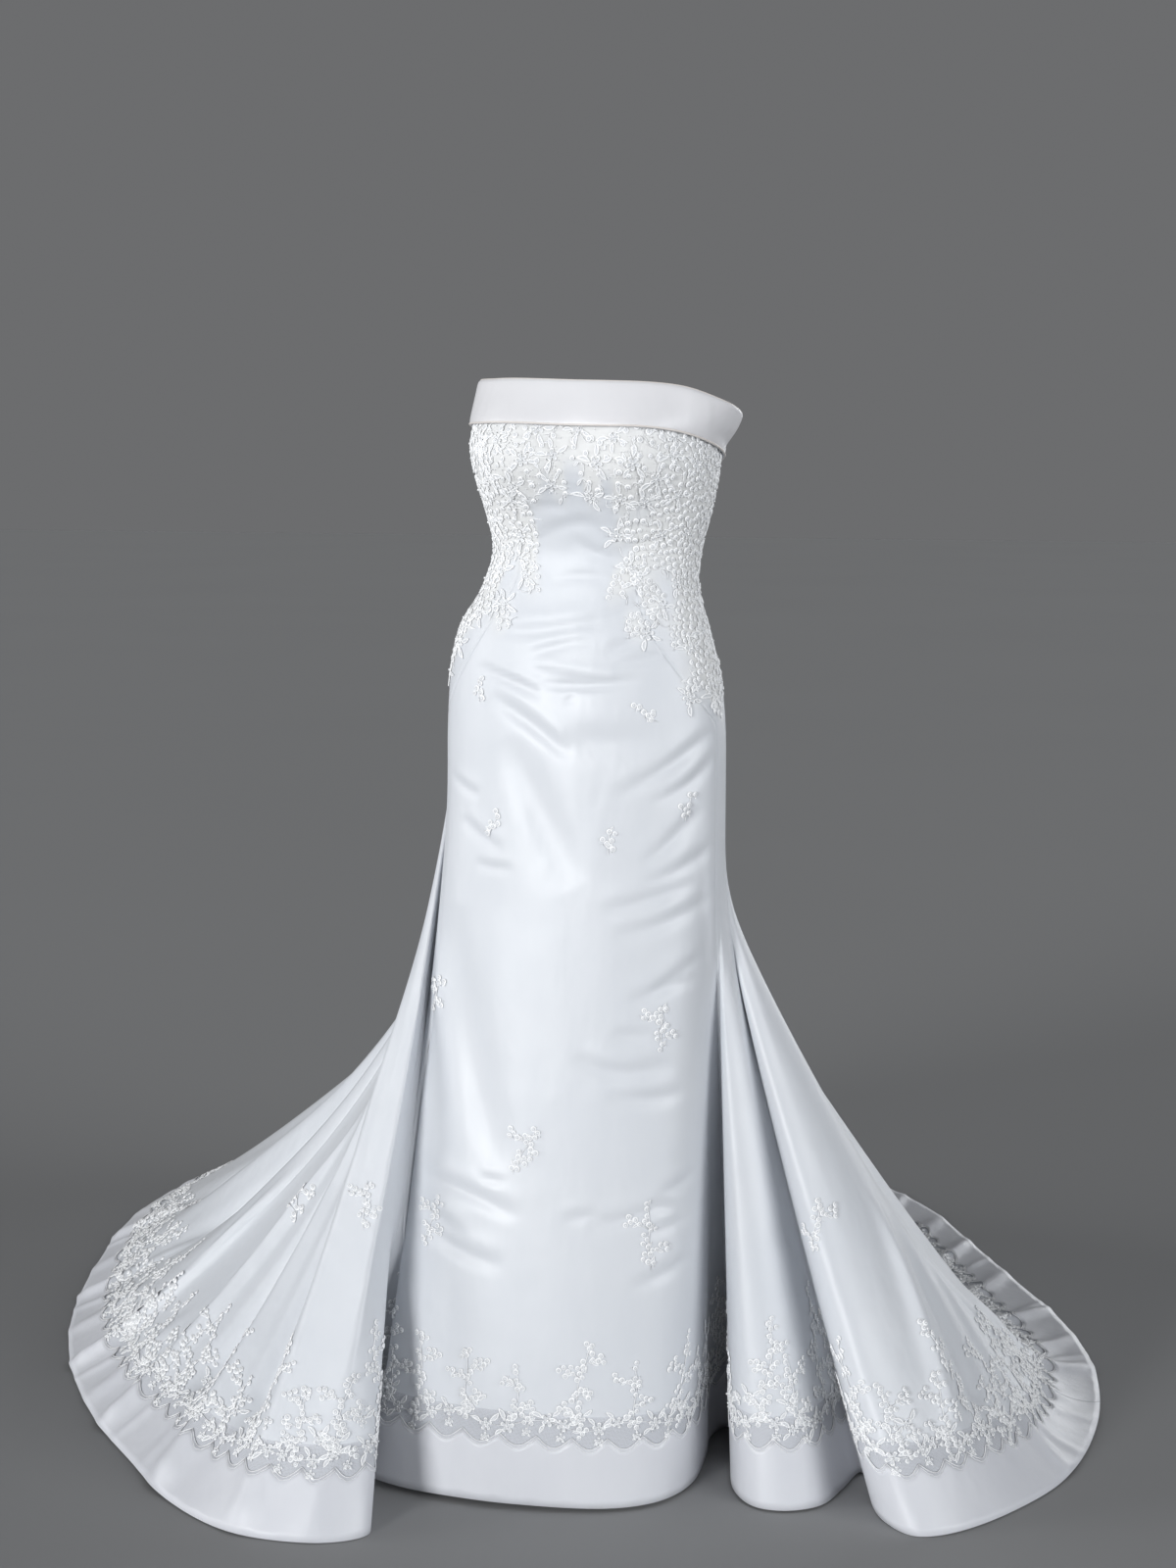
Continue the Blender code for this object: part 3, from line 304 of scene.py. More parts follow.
def closedHem(rows):
    # where each rib would reach the hem if the deep fold beside the front panel stayed closed
    tuck = skirt["tuck"]
    first, last = (int(np.interp(tuck[end], rows[:, 2], np.arange(len(rows)))) for end in ("first", "last"))
    degrees = (tuck["first"], tuck["edge"], tuck["last"])
    share = np.interp(rows[first:last, 2], degrees, (0, tuck["edgeShare"], 1))[:, None]
    closed = rows[:, :2].copy()
    closed[first:last] = rows[first, :2] * (1 - share) + rows[last, :2] * share
    return closed


def ribLine(row, closed):
    # one rib from the hip down the figure, out to the floor and along it to the hem
    x, y, degrees, leave, power, touch, lift = row
    floorSteps = skirt["floorSteps"]
    hip = figurePoints(np.array([degrees]), np.array([figure["hip"]]))[0]
    low = figure["floor"] + lift
    height = np.linspace(figure["hip"], low, skirt["fallSteps"])
    share = np.clip((leave - height) / (leave - low), 0, 1) ** power * touch
    share = np.concatenate([share, np.linspace(touch, 1.0, floorSteps)[1:]])
    height = np.concatenate([height, np.full(floorSteps - 1, low)])
    opens = skirt["tuck"]["opens"]
    opened = np.clip((opens - height) / (opens - low), 0, 1)
    across = hip[0] + (closed[0] - hip[0]) * share + (x - closed[0]) * opened
    along = hip[1] + (closed[1] - hip[1]) * share + (y - closed[1]) * opened
    return evenLine(np.stack([across, along, height], axis=1), skirt["samples"])


def clothNormals(lattice):
    roundStep = np.roll(lattice, -1, axis=0) - np.roll(lattice, 1, axis=0)
    return unit(np.cross(np.gradient(lattice, axis=1), roundStep))


def foldSkirt(lattice, hemLength):
    # the broad waves that hang from the hip
    normals = clothNormals(lattice)
    at = np.arange(len(lattice)) / len(lattice) * hemLength
    share = np.linspace(0, 1, lattice.shape[1])
    for place, depth, width, start, full, end in skirt["folds"]:
        across = np.exp(-(((at - place) / width) ** 2))
        along = ease((share - start) / (full - start)) * (1 - ease((share - full) / (end - full)))
        lattice = lattice + normals * (depth * across[:, None] * along[None, :])[:, :, None]
    return lattice


def buildCloth():
    # one closed lattice of the whole dress: a rib every few millimetres of hem, rows from the neckline
    # to the hip and then even rows down each rib
    rows, hemLength = hemRows()
    lattice = np.array([ribLine(row, closed) for row, closed in zip(rows, closedHem(rows))])
    for _ in range(skirt["softenRounds"]):
        soften(lattice.swapaxes(0, 1))
    lattice = foldSkirt(lattice, hemLength)
    knots = np.arange(skirt["samples"])
    finer = np.linspace(0, knots[-1], 4 * skirt["samples"])
    lower = []
    lengths = []
    for line in lattice:
        fine = cubic(line, knots, finer)
        lengths.append(np.linalg.norm(np.diff(fine, axis=0), axis=1).sum())
        lower.append(evenLine(fine, skirt["skirtRows"] + 1))
    degrees = rows[:, 2]
    top = necklineHeight(degrees) - figure["belowCuff"]
    share = np.arange(skirt["fittedRows"]) / skirt["fittedRows"]
    height = top[:, None] * (1 - share) + figure["hip"] * share
    turned = np.repeat(degrees[:, None], skirt["fittedRows"], axis=1)
    upper = figurePoints(turned.ravel(), height.ravel()).reshape(len(rows), -1, 3)
    whole = np.concatenate([upper, np.array(lower)], axis=1)
    join, reach = skirt["fittedRows"], skirt["joinReach"]
    window = 0.5 * np.clip(1 - np.abs(np.arange(-reach, reach + 1)) / (reach + 1), 0, 1)[None, :, None]
    for _ in range(skirt["joinRounds"]):
        near = whole[:, join - reach - 1 : join + reach + 2]
        blurred = (near[:, :-2] + near[:, 2:]) / 2
        whole[:, join - reach : join + reach + 1] = near[:, 1:-1] * (1 - window) + blurred * window
    whole[:, :, 2] = np.maximum(whole[:, :, 2], figure["floor"] + skirt["clearOfFloor"])
    return {
        "points": whole,
        "normals": clothNormals(whole),
        "degrees": np.append(degrees, degrees[0] + 360),
        "ribPlaces": np.arange(skirt["ribs"] + 1) / skirt["ribs"] * hemLength,
        "ribLength": np.array(lengths),
        "hemLength": hemLength,
    }


def curveWeights(part):
    # Catmull-Rom weights of four neighbours
    return (
        (-part + 2 * part**2 - part**3) / 2,
        (2 - 5 * part**2 + 3 * part**3) / 2,
        (part + 4 * part**2 - 3 * part**3) / 2,
        (-(part**2) + part**3) / 2,
    )


def readCloth(place, row):
    # points and normals of the cloth at metres round the hem and row numbers with parts
    place, row = np.broadcast_arrays(np.asarray(place, float), np.asarray(row, float))
    steps = place / cloth["hemLength"] * skirt["ribs"]
    lastRow = cloth["points"].shape[1] - 1
    row = np.clip(row, 0, lastRow)
    rib, line = np.floor(steps).astype(int), np.minimum(np.floor(row).astype(int), lastRow - 1)
    acrossWeights, downWeights = curveWeights(steps - rib), curveWeights(row - line)
    points = np.zeros(place.shape + (3,))
    normals = np.zeros_like(points)
    for i, acrossWeight in enumerate(acrossWeights):
        ribs = (rib + i - 1) % skirt["ribs"]
        for j, downWeight in enumerate(downWeights):
            lines = np.clip(line + j - 1, 0, lastRow)
            weight = (acrossWeight * downWeight)[..., None]
            points += cloth["points"][ribs, lines] * weight
            normals += cloth["normals"][ribs, lines] * weight
    return points, unit(normals)


def ribLengthAt(place):
    return np.interp(place, cloth["ribPlaces"][:-1], cloth["ribLength"], period=cloth["hemLength"])


def rowAbove(place, distance):
    # row number at a distance up from the hem
    return skirt["fittedRows"] + skirt["skirtRows"] * (1 - distance / ribLengthAt(place))


def placeOfDegrees(degrees):
    # metres round the hem of the rib at these degrees, running on past a full turn
    turns = np.floor((degrees - cloth["degrees"][0]) / 360)
    place = np.interp(degrees - 360 * turns, cloth["degrees"], cloth["ribPlaces"])
    return place + turns * cloth["hemLength"]


# Creases pressed into the satin, seen from the front: start, middle and end as x and z, depth of the
# trough, its half width, height of the soft ridge above it
frontCreases = (
    ((-0.049, 0.044), (-0.019, 0.054), (0.007, 0.045), 0.0012, 0.006, 0.4),
    ((-0.040, 0.012), (0.009, 0.034), (0.048, 0.026), 0.0015, 0.007, 0.5),
    ((0.005, 0.016), (0.035, -0.001), (0.069, -0.010), 0.0014, 0.006, 0.4),
    ((0.049, 0.002), (0.081, 0.006), (0.108, 0.019), 0.0014, 0.006, 0.4),
    ((-0.020, -0.037), (0.019, -0.028), (0.058, -0.036), 0.0012, 0.006, 0.4),
    ((-0.106, -0.092), (-0.018, -0.091), (0.084, -0.068), 0.0016, 0.008, 0.5),
    ((-0.047, -0.122), (-0.008, -0.110), (0.035, -0.102), 0.0016, 0.006, 0.5),
    ((0.046, -0.118), (0.077, -0.104), (0.107, -0.093), 0.0016, 0.006, 0.5),
    ((0.056, -0.135), (0.095, -0.123), (0.127, -0.119), 0.0016, 0.006, 0.5),
    ((-0.044, -0.139), (0.008, -0.145), (0.056, -0.145), 0.0022, 0.0055, 0.5),
    ((-0.034, -0.153), (0.029, -0.155), (0.091, -0.146), 0.0032, 0.0055, 0.6),
    ((-0.115, -0.137), (-0.064, -0.154), (-0.026, -0.169), 0.0024, 0.006, 0.5),
    ((-0.001, -0.175), (0.008, -0.172), (0.017, -0.169), 0.0014, 0.004, 0.3),
    ((-0.094, -0.172), (-0.040, -0.203), (0.010, -0.243), 0.0036, 0.009, 0.3),
    ((-0.071, -0.218), (-0.027, -0.306), (0.014, -0.394), 0.0040, 0.022, 0.3),
    ((-0.002, -0.216), (0.053, -0.222), (0.113, -0.215), 0.0030, 0.018, 0.2),
    ((0.165, -0.207), (0.124, -0.248), (0.058, -0.287), 0.0028, 0.008, 0.5),
    ((0.167, -0.233), (0.144, -0.270), (0.102, -0.294), 0.0024, 0.007, 0.5),
    ((0.154, -0.300), (0.125, -0.338), (0.093, -0.369), 0.0024, 0.008, 0.4),
    ((0.169, -0.343), (0.135, -0.373), (0.093, -0.389), 0.0024, 0.008, 0.4),
    ((-0.159, -0.271), (-0.131, -0.285), (-0.109, -0.293), 0.0018, 0.006, 0.4),
    ((-0.134, -0.321), (-0.110, -0.339), (-0.076, -0.356), 0.0020, 0.007, 0.4),
    ((-0.115, -0.373), (-0.089, -0.378), (-0.062, -0.376), 0.0016, 0.006, 0.4),
    ((0.045, -0.422), (0.099, -0.410), (0.151, -0.388), 0.0026, 0.009, 0.4),
    ((0.061, -0.453), (0.121, -0.436), (0.165, -0.408), 0.0026, 0.009, 0.4),
    ((0.105, -0.522), (0.131, -0.501), (0.162, -0.479), 0.0022, 0.008, 0.4),
    ((0.079, -0.534), (0.122, -0.516), (0.158, -0.508), 0.0022, 0.008, 0.4),
    ((0.063, -0.570), (0.085, -0.572), (0.106, -0.574), 0.0024, 0.008, 0.2),
    ((0.020, -0.596), (0.069, -0.617), (0.130, -0.606), 0.0030, 0.010, 0.4),
    ((0.058, -0.643), (0.102, -0.649), (0.146, -0.642), 0.0026, 0.009, 0.4),
    ((0.108, -0.767), (0.143, -0.755), (0.155, -0.731), 0.0024, 0.008, 0.4),
    ((0.099, -0.775), (0.125, -0.784), (0.145, -0.795), 0.0024, 0.008, 0.4),
    ((0.094, -0.815), (0.130, -0.806), (0.153, -0.800), 0.0022, 0.008, 0.4),
    ((-0.183, -0.764), (-0.113, -0.775), (-0.047, -0.798), 0.0030, 0.010, 0.4),
    ((-0.181, -0.795), (-0.151, -0.813), (-0.112, -0.828), 0.0026, 0.009, 0.4),
    ((-0.102, -0.754), (-0.085, -0.755), (-0.067, -0.756), 0.0018, 0.007, 0.4),
    ((0.007, -0.796), (0.029, -0.792), (0.052, -0.787), 0.0018, 0.007, 0.4),
    ((-0.178, -0.820), (-0.122, -0.846), (-0.063, -0.857), 0.0026, 0.010, 0.4),
    ((0.085, -0.882), (0.126, -0.863), (0.151, -0.853), 0.0024, 0.009, 0.4),
    ((0.038, -0.800), (0.083, -0.794), (0.134, -0.778), 0.0024, 0.009, 0.4),
    ((-0.149, -0.430), (-0.120, -0.588), (-0.072, -0.746), 0.0060, 0.026, 0.2),
    ((-0.185, -0.531), (-0.165, -0.644), (-0.151, -0.748), 0.0050, 0.020, 0.2),
)

# The same on the back, where x still runs to the wearer's left
backCreases = (
    ((-0.110, -0.070), (-0.020, -0.082), (0.090, -0.074), 0.0018, 0.008, 0.5),
    ((-0.125, -0.112), (-0.060, -0.128), (0.010, -0.122), 0.0022, 0.008, 0.5),
    ((0.020, -0.135), (0.075, -0.128), (0.128, -0.108), 0.0024, 0.008, 0.5),
    ((-0.085, -0.010), (-0.040, 0.004), (0.004, -0.004), 0.0014, 0.007, 0.4),
    ((0.010, 0.026), (0.050, 0.016), (0.095, 0.022), 0.0014, 0.007, 0.4),
    ((-0.100, 0.052), (-0.060, 0.044), (-0.022, 0.052), 0.0012, 0.007, 0.4),
    ((-0.140, -0.205), (-0.090, -0.245), (-0.030, -0.270), 0.0030, 0.010, 0.4),
    ((0.150, -0.190), (0.100, -0.232), (0.046, -0.262), 0.0030, 0.010, 0.4),
    ((-0.150, -0.270), (-0.115, -0.300), (-0.074, -0.318), 0.0024, 0.009, 0.4),
    ((0.158, -0.262), (0.120, -0.300), (0.080, -0.330), 0.0024, 0.009, 0.4),
)

# Shape of a crease: strength of them all, power of its taper, steps along it, reach, place and width of the
# ridge in half widths of the trough, and how far the cloth has to face the crease's side to take it
creaseShape = {
    "strength": 1.3,
    "taper": 0.85,
    "steps": 16,
    "reach": 4,
    "ridgeAt": 1.8,
    "ridgeWidth": 1.3,
    "facesFrom": 0.15,
    "facesOver": 0.35,
}


def creaseDepth(points, normals, table, facing):
    # how far each point moves along its normal: a trough with a soft ridge above it, tapered to its ends
    flat = points.reshape(-1, 3)
    away = np.zeros(len(flat))
    faces = (facing * normals.reshape(-1, 3)[:, 1] - creaseShape["facesFrom"]) / creaseShape["facesOver"]
    looks = ease(faces)
    t = np.linspace(0, 1, creaseShape["steps"] + 1)[:, None]
    for start, middle, end, depth, width, ridge in table:
        a, b, c = np.array(start), np.array(middle), np.array(end)
        path = a * (1 - t) * (1 - 2 * t) + b * 4 * t * (1 - t) + c * t * (2 * t - 1)
        reach = creaseShape["reach"] * width
        near = (flat[:, (0, 2)] > path.min(axis=0) - reach) & (flat[:, (0, 2)] < path.max(axis=0) + reach)
        near = near.all(axis=1) & (looks > 0)
        if not near.any():
            continue
        spot = flat[near][:, (0, 2)][:, None, :]
        leg = path[1:] - path[:-1]
        share = np.clip(((spot - path[:-1]) * leg).sum(-1) / (leg**2).sum(-1), 0, 1)
        gap = spot - (path[:-1] + leg * share[..., None])
        distance = np.linalg.norm(gap, axis=-1)
        nearest = distance.argmin(axis=1)
        pick = np.arange(len(nearest)), nearest
        above = leg[nearest, 0] * gap[pick][:, 1] - leg[nearest, 1] * gap[pick][:, 0]
        if c[0] < a[0]:
            above = -above
        signed = np.where(above > 0, distance[pick], -distance[pick])
        along = (nearest + share[pick]) / len(leg)
        taper = (4 * along * (1 - along) + 1e-6) ** creaseShape["taper"]
        trough = -np.exp(-((signed / width) ** 2))
        beside = (signed - creaseShape["ridgeAt"] * width) / (creaseShape["ridgeWidth"] * width)
        away[near] += depth * taper * (trough + ridge * np.exp(-(beside**2))) * looks[near]
    return away.reshape(points.shape[:-1])


# Long soft folds of the skirt and short creases of the cloth that lies on the floor: metres round the
# hem, metres above it where the crease ends and starts, half width, height (below nothing for a trough),
# metres it leans round the hem for each metre up
trainCreases = (
    (1.16, 0.09, 0.46, 0.022, 0.0090, 0.30),
    (1.24, 0.09, 0.40, 0.026, -0.0120, 0.30),
    (1.33, 0.00, 0.42, 0.018, 0.0070, 0.22),
    (1.39, 0.00, 0.13, 0.012, 0.0030, 0.00),
    (1.43, 0.09, 0.36, 0.020, -0.0090, 0.18),
    (1.50, 0.00, 0.10, 0.016, 0.0030, 0.10),
    (1.56, 0.02, 0.34, 0.022, 0.0060, 0.10),
    (1.68, 0.00, 0.30, 0.022, 0.0080, 0.15),
    (1.73, 0.00, 0.08, 0.010, 0.0026, 0.00),
    (1.80, 0.00, 0.14, 0.020, 0.0050, -0.15),
    (1.91, 0.00, 0.24, 0.015, 0.0080, 0.10),
    (1.94, 0.00, 0.09, 0.009, 0.0030, -0.10),
    (2.07, 0.00, 0.18, 0.024, 0.0060, -0.10),
    (2.14, 0.00, 0.08, 0.010, 0.0026, 0.15),
    (2.22, 0.00, 0.30, 0.018, 0.0080, 0.00),
    (2.34, 0.00, 0.12, 0.022, 0.0045, 0.10),
    (2.47, 0.00, 0.20, 0.014, 0.0060, -0.10),
    (2.51, 0.00, 0.07, 0.009, 0.0026, 0.10),
    (2.61, 0.00, 0.26, 0.022, 0.0080, 0.10),
    (2.75, 0.00, 0.10, 0.016, 0.0040, -0.10),
    (2.83, 0.00, 0.14, 0.011, 0.0040, 0.10),
    (2.95, 0.00, 0.28, 0.020, 0.0080, -0.08),
    (3.08, 0.00, 0.11, 0.018, 0.0036, 0.10),
    (3.16, 0.00, 0.22, 0.014, 0.0060, 0.00),
    (3.30, 0.00, 0.26, 0.024, 0.0070, 0.08),
    (3.37, 0.00, 0.08, 0.009, 0.0026, -0.10),
    (3.49, 0.00, 0.16, 0.018, 0.0050, -0.10),
    (3.60, 0.00, 0.10, 0.012, 0.0032, 0.10),
    (3.71, 0.00, 0.28, 0.020, 0.0080, 0.05),
    (3.83, 0.00, 0.10, 0.016, 0.0040, -0.10),
    (3.94, 0.00, 0.26, 0.014, 0.0070, -0.10),
    (3.98, 0.00, 0.08, 0.009, 0.0030, 0.10),
    (4.09, 0.00, 0.14, 0.022, 0.0050, 0.00),
    (4.21, 0.00, 0.30, 0.017, 0.0090, -0.05),
    (4.25, 0.00, 0.09, 0.009, 0.0032, 0.10),
    (4.36, 0.00, 0.16, 0.022, 0.0060, -0.10),
    (4.48, 0.00, 0.34, 0.016, 0.0100, -0.05),
    (4.53, 0.00, 0.10, 0.010, 0.0036, 0.10),
    (4.62, 0.00, 0.20, 0.020, 0.0060, -0.10),
    (4.75, 0.00, 0.52, 0.018, 0.0130, -0.08),
    (4.80, 0.00, 0.10, 0.010, 0.0036, 0.10),
    (4.88, 0.00, 0.22, 0.020, 0.0060, -0.10),
    (4.97, 0.00, 0.60, 0.020, 0.0130, -0.10),
    (5.02, 0.00, 0.12, 0.010, 0.0036, 0.05),
    (5.08, 0.10, 0.80, 0.026, -0.0220, -0.04),
    (5.12, 0.00, 0.10, 0.014, 0.0030, 0.00),
    (5.18, 0.00, 0.80, 0.028, 0.0150, -0.04),
    (5.28, 0.10, 0.82, 0.024, -0.0190, -0.03),
    (5.35, 0.00, 0.80, 0.022, 0.0080, -0.02),
    (5.44, 0.00, 0.10, 0.016, 0.0022, 0.00),
)

# Shape of a long fold: how far up the cloth any of them goes, share of one that fades out at its top, share
# of its height at the hem and over what distance that grows to the whole, and the same for a fold that ends
# above the hem
foldShape = {
    "highest": 0.9,
    "fade": 0.35,
    "atHem": 0.35,
    "growsFrom": -0.004,
    "growsOver": 0.040,
    "startsBelow": 0.01,
    "startsOver": 0.08,
}


def foldDepth(place, row):
    # the same for the long folds and the creases of the train
    place, row = np.broadcast_arrays(np.asarray(place, float), np.asarray(row, float))
    distance = (1 - (row - skirt["fittedRows"]) / skirt["skirtRows"]) * ribLengthAt(place)
    away = np.zeros(place.shape)
    low = distance < foldShape["highest"]
    at, up = place[low], distance[low]
    moved = np.zeros(at.shape)
    around = cloth["hemLength"]
    atHem = foldShape["atHem"]
    atFoot = atHem + (1 - atHem) * ease((up - foldShape["growsFrom"]) / foldShape["growsOver"])
    for middle, foot, top, width, height, lean in trainCreases:
        off = (at - middle - lean * (up - foot) + around / 2) % around - around / 2
        fade = foldShape["fade"] * (top - foot)
        share = (1 - ease((up - top + fade) / fade)) * atFoot
        if foot > 0:
            share = share * ease((up - foot + foldShape["startsBelow"]) / foldShape["startsOver"])
        moved += height * np.exp(-((off / width) ** 2)) * share
    away[low] = moved
    return away


clothOffset = 0.0012    # the satin lies inside its solid wall


def onCloth(place, row, lift=0.0):
    # a place on the finished cloth, lifted off it
    points, normals = readCloth(place, row)
    away = creaseDepth(points, normals, frontCreases, -1) + creaseDepth(points, normals, backCreases, 1)
    away = creaseShape["strength"] * away + foldDepth(place, row)
    points = points + normals * (away + clothOffset + lift)[..., None]
    points[..., 2] = np.maximum(points[..., 2], figure["floor"] + skirt["creasesClearOfFloor"])
    return points, normals


def deselectAll():
    bpy.ops.object.select_all(action="DESELECT")


def editAll(*steps):
    # edit mode operators, each with its settings, on the whole of the active mesh
    bpy.ops.object.mode_set(mode="EDIT")
    bpy.ops.mesh.select_all(action="SELECT")
    for operator, settings in steps:
        operator(**settings)
    bpy.ops.object.mode_set(mode="OBJECT")


def makeActive(piece):
    deselectAll()
    bpy.context.view_layer.objects.active = piece
    piece.select_set(True)


def addMesh(name, operator, **settings):
    # a primitive alone, with its place in its mesh
    deselectAll()
    operator(**settings)
    bpy.ops.object.transform_apply(location=True, rotation=True, scale=True)
    made = bpy.context.object
    made.name = name
    return made


def meshPiece(name, points, faces):
    mesh = bpy.data.meshes.new(name)
    mesh.from_pydata(points.tolist(), [], faces)
    made = bpy.data.objects.new(name, mesh)
    bpy.context.scene.collection.objects.link(made)
    return made


def clothMetres(points):
    # cloth coordinates in metres: across along each row, down along the middle column
    across = np.linalg.norm(np.diff(points, axis=1), axis=2)
    across = np.concatenate([np.zeros((len(points), 1)), np.cumsum(across, axis=1)], axis=1)
    across -= across[:, -1:] / 2
    down = runAlong(points[:, points.shape[1] // 2])
    return np.stack([across, np.repeat(-down[:, None], points.shape[1], axis=1)], axis=-1)


def gridPiece(name, points):
    # a grid primitive whose vertices take the given rows of points, top row first
    rowCount, columnCount = points.shape[:2]
    deselectAll()
    bpy.ops.mesh.primitive_grid_add(x_subdivisions=columnCount - 1, y_subdivisions=rowCount - 1, size=1)
    made = bpy.context.object
    made.name = name
    mesh = made.data
    mesh.name = name
    mesh.vertices.foreach_set("co", points[::-1].reshape(-1))
    corners = np.zeros(len(mesh.loops), dtype=np.int32)
    mesh.loops.foreach_get("vertex_index", corners)
    metres = clothMetres(points)[::-1].reshape(-1, 2)
    mesh.uv_layers.active.data.foreach_set("uv", metres[corners].reshape(-1))
    mesh.update()
    bpy.ops.object.shade_smooth()
    return made


def finishPiece(piece, material, slot, *nodes):
    # nodes are the solids that the piece takes the place of
    piece.data.materials.clear()
    piece.data.materials.append(material)
    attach(piece, "root")
    if nodes:
        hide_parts(*nodes)
    return piece


# Panels in order round the figure: columns of the mesh and rows of its cloth
panels = (
    {"name": "front_centre", "first": (1, -1), "last": (1, 1), "columns": 130, "rows": 270},
    {"name": "side_left", "first": (1, 1), "last": (2, 1), "columns": 130, "rows": 180},
    {"name": "back_left", "first": (2, 1), "last": (0, 180), "columns": 130, "rows": 170},
    {"name": "back_right", "first": (0, 180), "last": (2, -1), "columns": 130, "rows": 170},
    {"name": "side_right", "first": (2, -1), "last": (1, -1), "columns": 145, "rows": 180},
)

# The border: height of the band and of the see-through strip above it, width of a scallop, heights of its
# points and dips, columns of the mesh to each scallop and its rows, and how far the net laps under both
border = {
    "band": 0.080,
    "sheer": 0.030,
    "pitch": 0.0445,
    "cusp": 0.0865,
    "dip": 0.0730,
    "roundness": 1.1,
    "bandGrid": (10, 9),
    "bandLift": 0.0004,
    "bandWall": 0.0007,
    "netGrid": (6, 5),
    "netOverSatin": 0.003,
    "netUnderBand": 0.004,
    "netLift": 0.0001,
}


def seamEnds(panel, heights):
    # degrees of a panel's two seams, each at its height
    first, last = (seamDegrees(panel[end], height)[0] for end, height in zip(("first", "last"), heights))
    return [first, last + 360 if last < first else last]


def placePanels():
    hipSeam = figure["seams"][-1][0]
    for panel in panels:
        panel["hip"] = seamEnds(panel, (hipSeam, hipSeam))
        panel["hem"] = [float(placeOfDegrees(degrees)) for degrees in panel["hip"]]
        panel["scallops"] = int(round((panel["hem"][1] - panel["hem"][0]) / border["pitch"]))


def panelGrid(panel):
    # places and rows of a panel's mesh: seams of the figure above the hip, even cloth below it
    columns = np.linspace(0, 1, panel["columns"] + 1)
    fitted = skirt["fittedRows"]
    rows = np.linspace(0, fitted + skirt["skirtRows"], panel["rows"] + 1)
    places = []
    rowNumbers = []
    seamTop, seamLow = figure["seams"][0][0], figure["seams"][-1][0]
    edge = border["band"] + border["sheer"]
    linear = panel["hem"][0] + (panel["hem"][1] - panel["hem"][0]) * columns
    hipPlaces = placeOfDegrees(panel["hip"][0] + (panel["hip"][1] - panel["hip"][0]) * columns)
    for row in rows:
        if row <= fitted:
            share = row / fitted
            height = np.full(len(columns), figure["chest"] * (1 - share) + figure["hip"] * share)
            # the seams lie by height and the row's height by degrees, so a few rounds settle them
            for _ in range(3):
                first, last = seamEnds(panel, np.clip(height[[0, -1]], seamLow, seamTop))
                degrees = first + (last - first) * columns
                top = necklineHeight(degrees) - figure["belowCuff"]
                height = top * (1 - share) + figure["hip"] * share
            places.append(placeOfDegrees(degrees))
            rowNumbers.append(np.full(len(columns), row))
        else:
            share = (row - fitted) / skirt["skirtRows"]
            place = hipPlaces * (1 - share) + linear * share
            down = rowAbove(place, edge) - fitted
            places.append(place)
            rowNumbers.append(fitted + down * share)
    return np.array(places), np.array(rowNumbers)


seamLine = {"depth": 0.0009, "width": 0.0022}    # the line that shows where the cloth turns in at a seam


def seamDip(columns, widths):
    edge = np.minimum(columns, 1 - columns)
    return -seamLine["depth"] * np.exp(-((edge * widths[:, None] / seamLine["width"]) ** 2))


def makePanels():
    made = {}
    for panel in panels:
        places, rows = panelGrid(panel)
        points, normals = onCloth(places, rows)
        widths = np.linalg.norm(np.diff(points, axis=1), axis=2).sum(axis=1)
        columns = np.linspace(0, 1, panel["columns"] + 1)[None, :]
        points = points + normals * seamDip(columns, widths)[..., None]
        panel["places"], panel["rowsAt"], panel["points"] = places, rows, points
        piece = gridPiece("satin_" + panel["name"], points)
        share = piece.data.attributes.new("underNet", "FLOAT", "POINT")
        share.data.foreach_set("value", underNet(panel)[::-1].ravel())
        finishPiece(piece, satin, "satin", "panel_" + panel["name"])
        made[panel["name"]] = piece
    return made


# Section of the folded cuff from inside its top edge, over and down to the roll below and up behind it:
# rows of the solid's fitted part below the neckline, distance out from the figure
cuff = {
    "section": (
        (0.40, 0.0000), (0.10, 0.0000), (-0.06, 0.0006), (-0.13, 0.0022), (-0.10, 0.0042), (0.02, 0.0056),
        (0.40, 0.0066), (0.80, 0.0074), (1.15, 0.0077), (1.38, 0.0074), (1.49, 0.0066), (1.53, 0.0052),
        (1.47, 0.0040), (1.20, 0.0036),
    ),
    "rows": 12,
    "lastRing": -0.190,
    "flareDegrees": 96,
    "flareWidth": 22,
    "flare": 0.016,
    "flareRows": 1.2,
    "columns": 3,    # to each five degrees
    "steps": 40,
    "seamGap": 0.06,
    "waver": 0.0007,
    "cords": {"top": 3, "low": 10},
    "cord": 0.0013,
    "cordSides": 6,
}


def cuffPoints(degrees, row, out):
    top = necklineHeight(degrees) - figure["belowCuff"]
    height = top - row * (top - cuff["lastRing"]) / cuff["rows"]
    turned = (degrees + 180) % 360 - 180
    flare = cuff["flare"] * np.exp(-(((turned - cuff["flareDegrees"]) / cuff["flareWidth"]) ** 2))
    flare = flare * max(0.0, 1 - (row + 0.12) / cuff["flareRows"])
    turn = np.radians(turned)
    waver = cuff["waver"] * np.sin(turn * 6.1 + 1.7 * row + 1.5 * np.sin(turn * 2.3)) * min(max(row, 0), 1)
    points = figurePoints(degrees, height)
    return points + figureNormals(degrees, height) * (out + flare + waver)[:, None]


